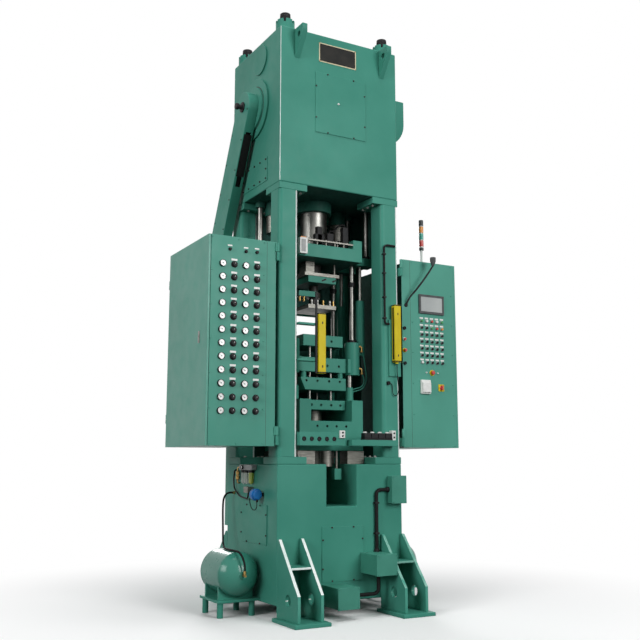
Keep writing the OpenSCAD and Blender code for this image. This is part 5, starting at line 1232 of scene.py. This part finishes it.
give(gauge, "frame", ("blackPlastic", "dialWhite"))
paintFaces(gauge, 1, lambda face: len(face.vertices) > 20 and face.normal.x < -0.5)
for index, (place, look) in enumerate(airForm["bowls"]):
    spot = (airForm["bowlX"], place, airLow.z)
    for name, steps, finishName in (("bowlCollar", "collar", "blackPlastic"), ("bowl", "bowlSteps", look)):
        give(turned("%s%d" % (name, index), scaled(airForm["bowl"], 1, airForm[steps]), spot, down, 24),
             "frame", finishName)

# brass fittings and lines of the air unit
fittingForm = {
    "pipe": 0.008, "bend": 0.02, "tube": 0.0085, "tubeBend": 0.05,
    "pipeRun": ((-0.745, 0.17, 1.4125), (-0.745, 0.27, 1.4125), (-0.745, 0.27, 1.2525),
                (-0.715, 0.27, 1.2525)),
    "tubeRun": ((-0.715, 0.335, 1.385), (-0.750, 0.335, 1.385), (-0.750, 0.362, 1.300),
                (-0.750, 0.350, 1.200),
                (-0.750, 0.205, 1.118), (-0.750, 0.005, 1.100), (-0.750, -0.012, 1.162)),
    "block": ((-0.785, -0.065, 1.160), (-0.715, 0.035, 1.222)),
    "turned": (
        ("hoseNut", ((0.016, 0), (0.016, 0.014), (0.0125, 0.018), (0.0125, 0.030)), (-0.715, 0.40, 1.15),
         left, 6),
        ("tankNut", ((0.014, 0), (0.014, 0.044)), (-0.945, -0.352, 0.40), ahead, 6),
        ("tankElbow", ((0.013, -0.008), (0.013, 0.022), (0.016, 0.024), (0.016, 0.040), (0.0125, 0.044)),
         (-0.945, -0.38, 0.40), up, 12),
        ("headerNut", ((0.012, 0), (0.012, 0.014)), (-0.745, 0.17, 1.4125), back, 6),
        ("switchStem", ((0.013, 0), (0.013, 0.03), (0.017, 0.031), (0.017, 0.050)), (-0.79, -0.24, 1.15),
         back, 6),
        ("shutOff",
         ((0.014, 0), (0.022, 0.006), (0.022, 0.034), (0.015, 0.040), (0.015, 0.055), (0.021, 0.058),
          (0.021, 0.084), (0.014, 0.090)), (-0.745, 0.27, 1.285), up, 8)),
}
brassParts = [pipe("airPipe", bent(fittingForm["pipeRun"], fittingForm["bend"]), fittingForm["pipe"])]
brassParts += [turned(*fitting) for fitting in fittingForm["turned"]]
give(joined("airFittings", *brassParts), "frame", "brass")
give(block("airValveBlock", *fittingForm["block"], 0.005), "frame", "groundSteel")
give(pipe("airTube", bent(fittingForm["tubeRun"], fittingForm["tubeBend"]), fittingForm["tube"]), "frame",
     "blackPlastic")

# pressure switch with its foot, cable gland and nut
pressureForm = {
    "body": ((0.050, 0), (0.058, 0.006), (0.058, 0.052), (0.048, 0.056), (0.044, 0.078), (0.036, 0.080)),
    "place": (-0.79, -0.24, 1.15), "foot": ((-0.775, -0.30, 1.132), (-0.715, -0.262, 1.168)),
    "turned": (
        ("cableGland", ((0.009, 0), (0.009, 0.012), (0.006, 0.018)), (-0.715, -0.075, 1.12), left, 12),
        ("cableNut", ((0.011, 0), (0.011, 0.018), (0.007, 0.024)), (-0.790, -0.300, 1.100), down, 12)),
}
give(turned("pressureSwitch", pressureForm["body"], pressureForm["place"], ahead, 32), "frame", "bluePaint")
switchMounts = [block("switchFoot", *pressureForm["foot"])]
switchMounts += [turned(*mount) for mount in pressureForm["turned"]]
give(joined("switchMounts", *switchMounts), "frame", "blackPlastic")

# tanks: weld seams round the shells
tankForm = {"axis": 0.945, "height": 0.40, "radius": 0.2115, "seams": (-0.215, 0.215), "width": 0.012,
            "soft": 0.003, "sides": 64}
ring, flank = tankForm["radius"], tankForm["radius"] - tankForm["soft"]
seamSteps = [(flank, 0), (ring, tankForm["soft"]), (ring, tankForm["width"] - tankForm["soft"]),
             (flank, tankForm["width"])]
seams = [turned("seam", seamSteps,
                (side * tankForm["axis"], place - tankForm["width"] / 2, tankForm["height"]), back,
                tankForm["sides"]) for side in (-1, 1) for place in tankForm["seams"]]
give(joined("tankSeams", *seams), "frame", "tankPaint", "paint")
print("air supply done")

# stage, light and world
stageForm = {"size": 80, "pale": (0.97, 0.97, 0.97), "bounce": (0.20, 0.20, 0.20), "fade": (1.8, 5.0),
             "rough": 0.9, "gloss": 0.1}


def seenRays(tree):
    # 1 for rays that show the background: straight, mirrored or through glass
    rays = tree.nodes.new("ShaderNodeLightPath")
    seen = rays.outputs["Is Camera Ray"]
    for kind in ("Is Glossy Ray", "Is Transmission Ray"):
        either = tree.nodes.new("ShaderNodeMath")
        either.operation = "MAXIMUM"
        tree.links.new(seen, either.inputs[0])
        tree.links.new(rays.outputs[kind], either.inputs[1])
        seen = either.outputs["Value"]
    return seen


# the stage is pale where it shows, darker for bounced light, and fades into the white background
bpy.ops.object.select_all(action="DESELECT")
bpy.ops.mesh.primitive_plane_add(size=stageForm["size"], location=(0, 0, 0))
floor = bpy.context.active_object
floor.name = "floor"
paleFloor = bpy.data.materials.new("paleFloor")
paleFloor.use_nodes = True
tree = paleFloor.node_tree
shader = tree.nodes["Principled BSDF"]
shader.inputs["Roughness"].default_value = stageForm["rough"]
shader.inputs["Specular IOR Level"].default_value = stageForm["gloss"]
seen = seenRays(tree)
tone = tree.nodes.new("ShaderNodeMix")
tone.data_type = "RGBA"
toneEnds = {"A": stageForm["bounce"], "B": stageForm["pale"]}
for socket in tone.inputs:
    if socket.type == "RGBA" and socket.name in toneEnds:
        socket.default_value = (*toneEnds[socket.name], 1)
reach = tree.nodes.new("ShaderNodeVectorMath")
reach.operation = "LENGTH"
fade = tree.nodes.new("ShaderNodeMapRange")
fade.interpolation_type = "SMOOTHSTEP"
fade.inputs["From Min"].default_value, fade.inputs["From Max"].default_value = stageForm["fade"]
glow = tree.nodes.new("ShaderNodeEmission")
mix = tree.nodes.new("ShaderNodeMixShader")
for source, target in (
    (seen, tone.inputs["Factor"]),
    ([socket for socket in tone.outputs if socket.type == "RGBA"][0], shader.inputs["Base Color"]),
    (tree.nodes.new("ShaderNodeTexCoord").outputs["Object"], reach.inputs[0]),
    (reach.outputs["Value"], fade.inputs["Value"]),
    (seen, glow.inputs["Strength"]),
    (fade.outputs["Result"], mix.inputs["Fac"]),
    (shader.outputs["BSDF"], mix.inputs[1]),
    (glow.outputs["Emission"], mix.inputs[2]),
    (mix.outputs["Shader"], tree.nodes["Material Output"].inputs["Surface"]),
):
    tree.links.new(source, target)
floor.data.materials.append(paleFloor)

lamps = {
    "keyLight": {"place": (4.0, -15.0, 7.0), "target": (0, 0, 3.2), "size": 7, "power": 1490},
    "sideLight": {"place": (-15.0, -5.0, 7.0), "target": (0, 0, 3.0), "size": 7, "power": 1240},
    "backLight": {"place": (5.0, 15.0, 9.0), "target": (0, 0, 3.2), "size": 7, "power": 1300},
    "topLight": {"place": (0.0, -3.0, 16.0), "target": (0, -1, 0), "size": 7, "power": 700},
}
for name, lamp in lamps.items():
    aim = Vector(lamp["target"]) - Vector(lamp["place"])
    bpy.ops.object.light_add(type="AREA", location=lamp["place"],
                             rotation=aim.to_track_quat("-Z", "Y").to_euler())
    light = bpy.context.active_object
    light.name = name
    light.data.size = lamp["size"]
    light.data.energy = lamp["power"]

worldForm = {"ambient": 0.15, "tint": (0.96, 0.98, 1.0, 1), "white": (1, 1, 1, 1)}
world = bpy.data.worlds.new("studio")
bpy.context.scene.world = world
world.use_nodes = True
tree = world.node_tree
ambient = tree.nodes["Background"]
ambient.inputs["Color"].default_value = worldForm["tint"]
ambient.inputs["Strength"].default_value = worldForm["ambient"]
white = tree.nodes.new("ShaderNodeBackground")
white.inputs["Color"].default_value = worldForm["white"]
choice = tree.nodes.new("ShaderNodeMixShader")
tree.links.new(seenRays(tree), choice.inputs["Fac"])
tree.links.new(ambient.outputs["Background"], choice.inputs[1])
tree.links.new(white.outputs["Background"], choice.inputs[2])
tree.links.new(choice.outputs["Shader"], tree.nodes["World Output"].inputs["Surface"])
bpy.context.scene.view_settings.view_transform = "Standard"
print("stage and light done")
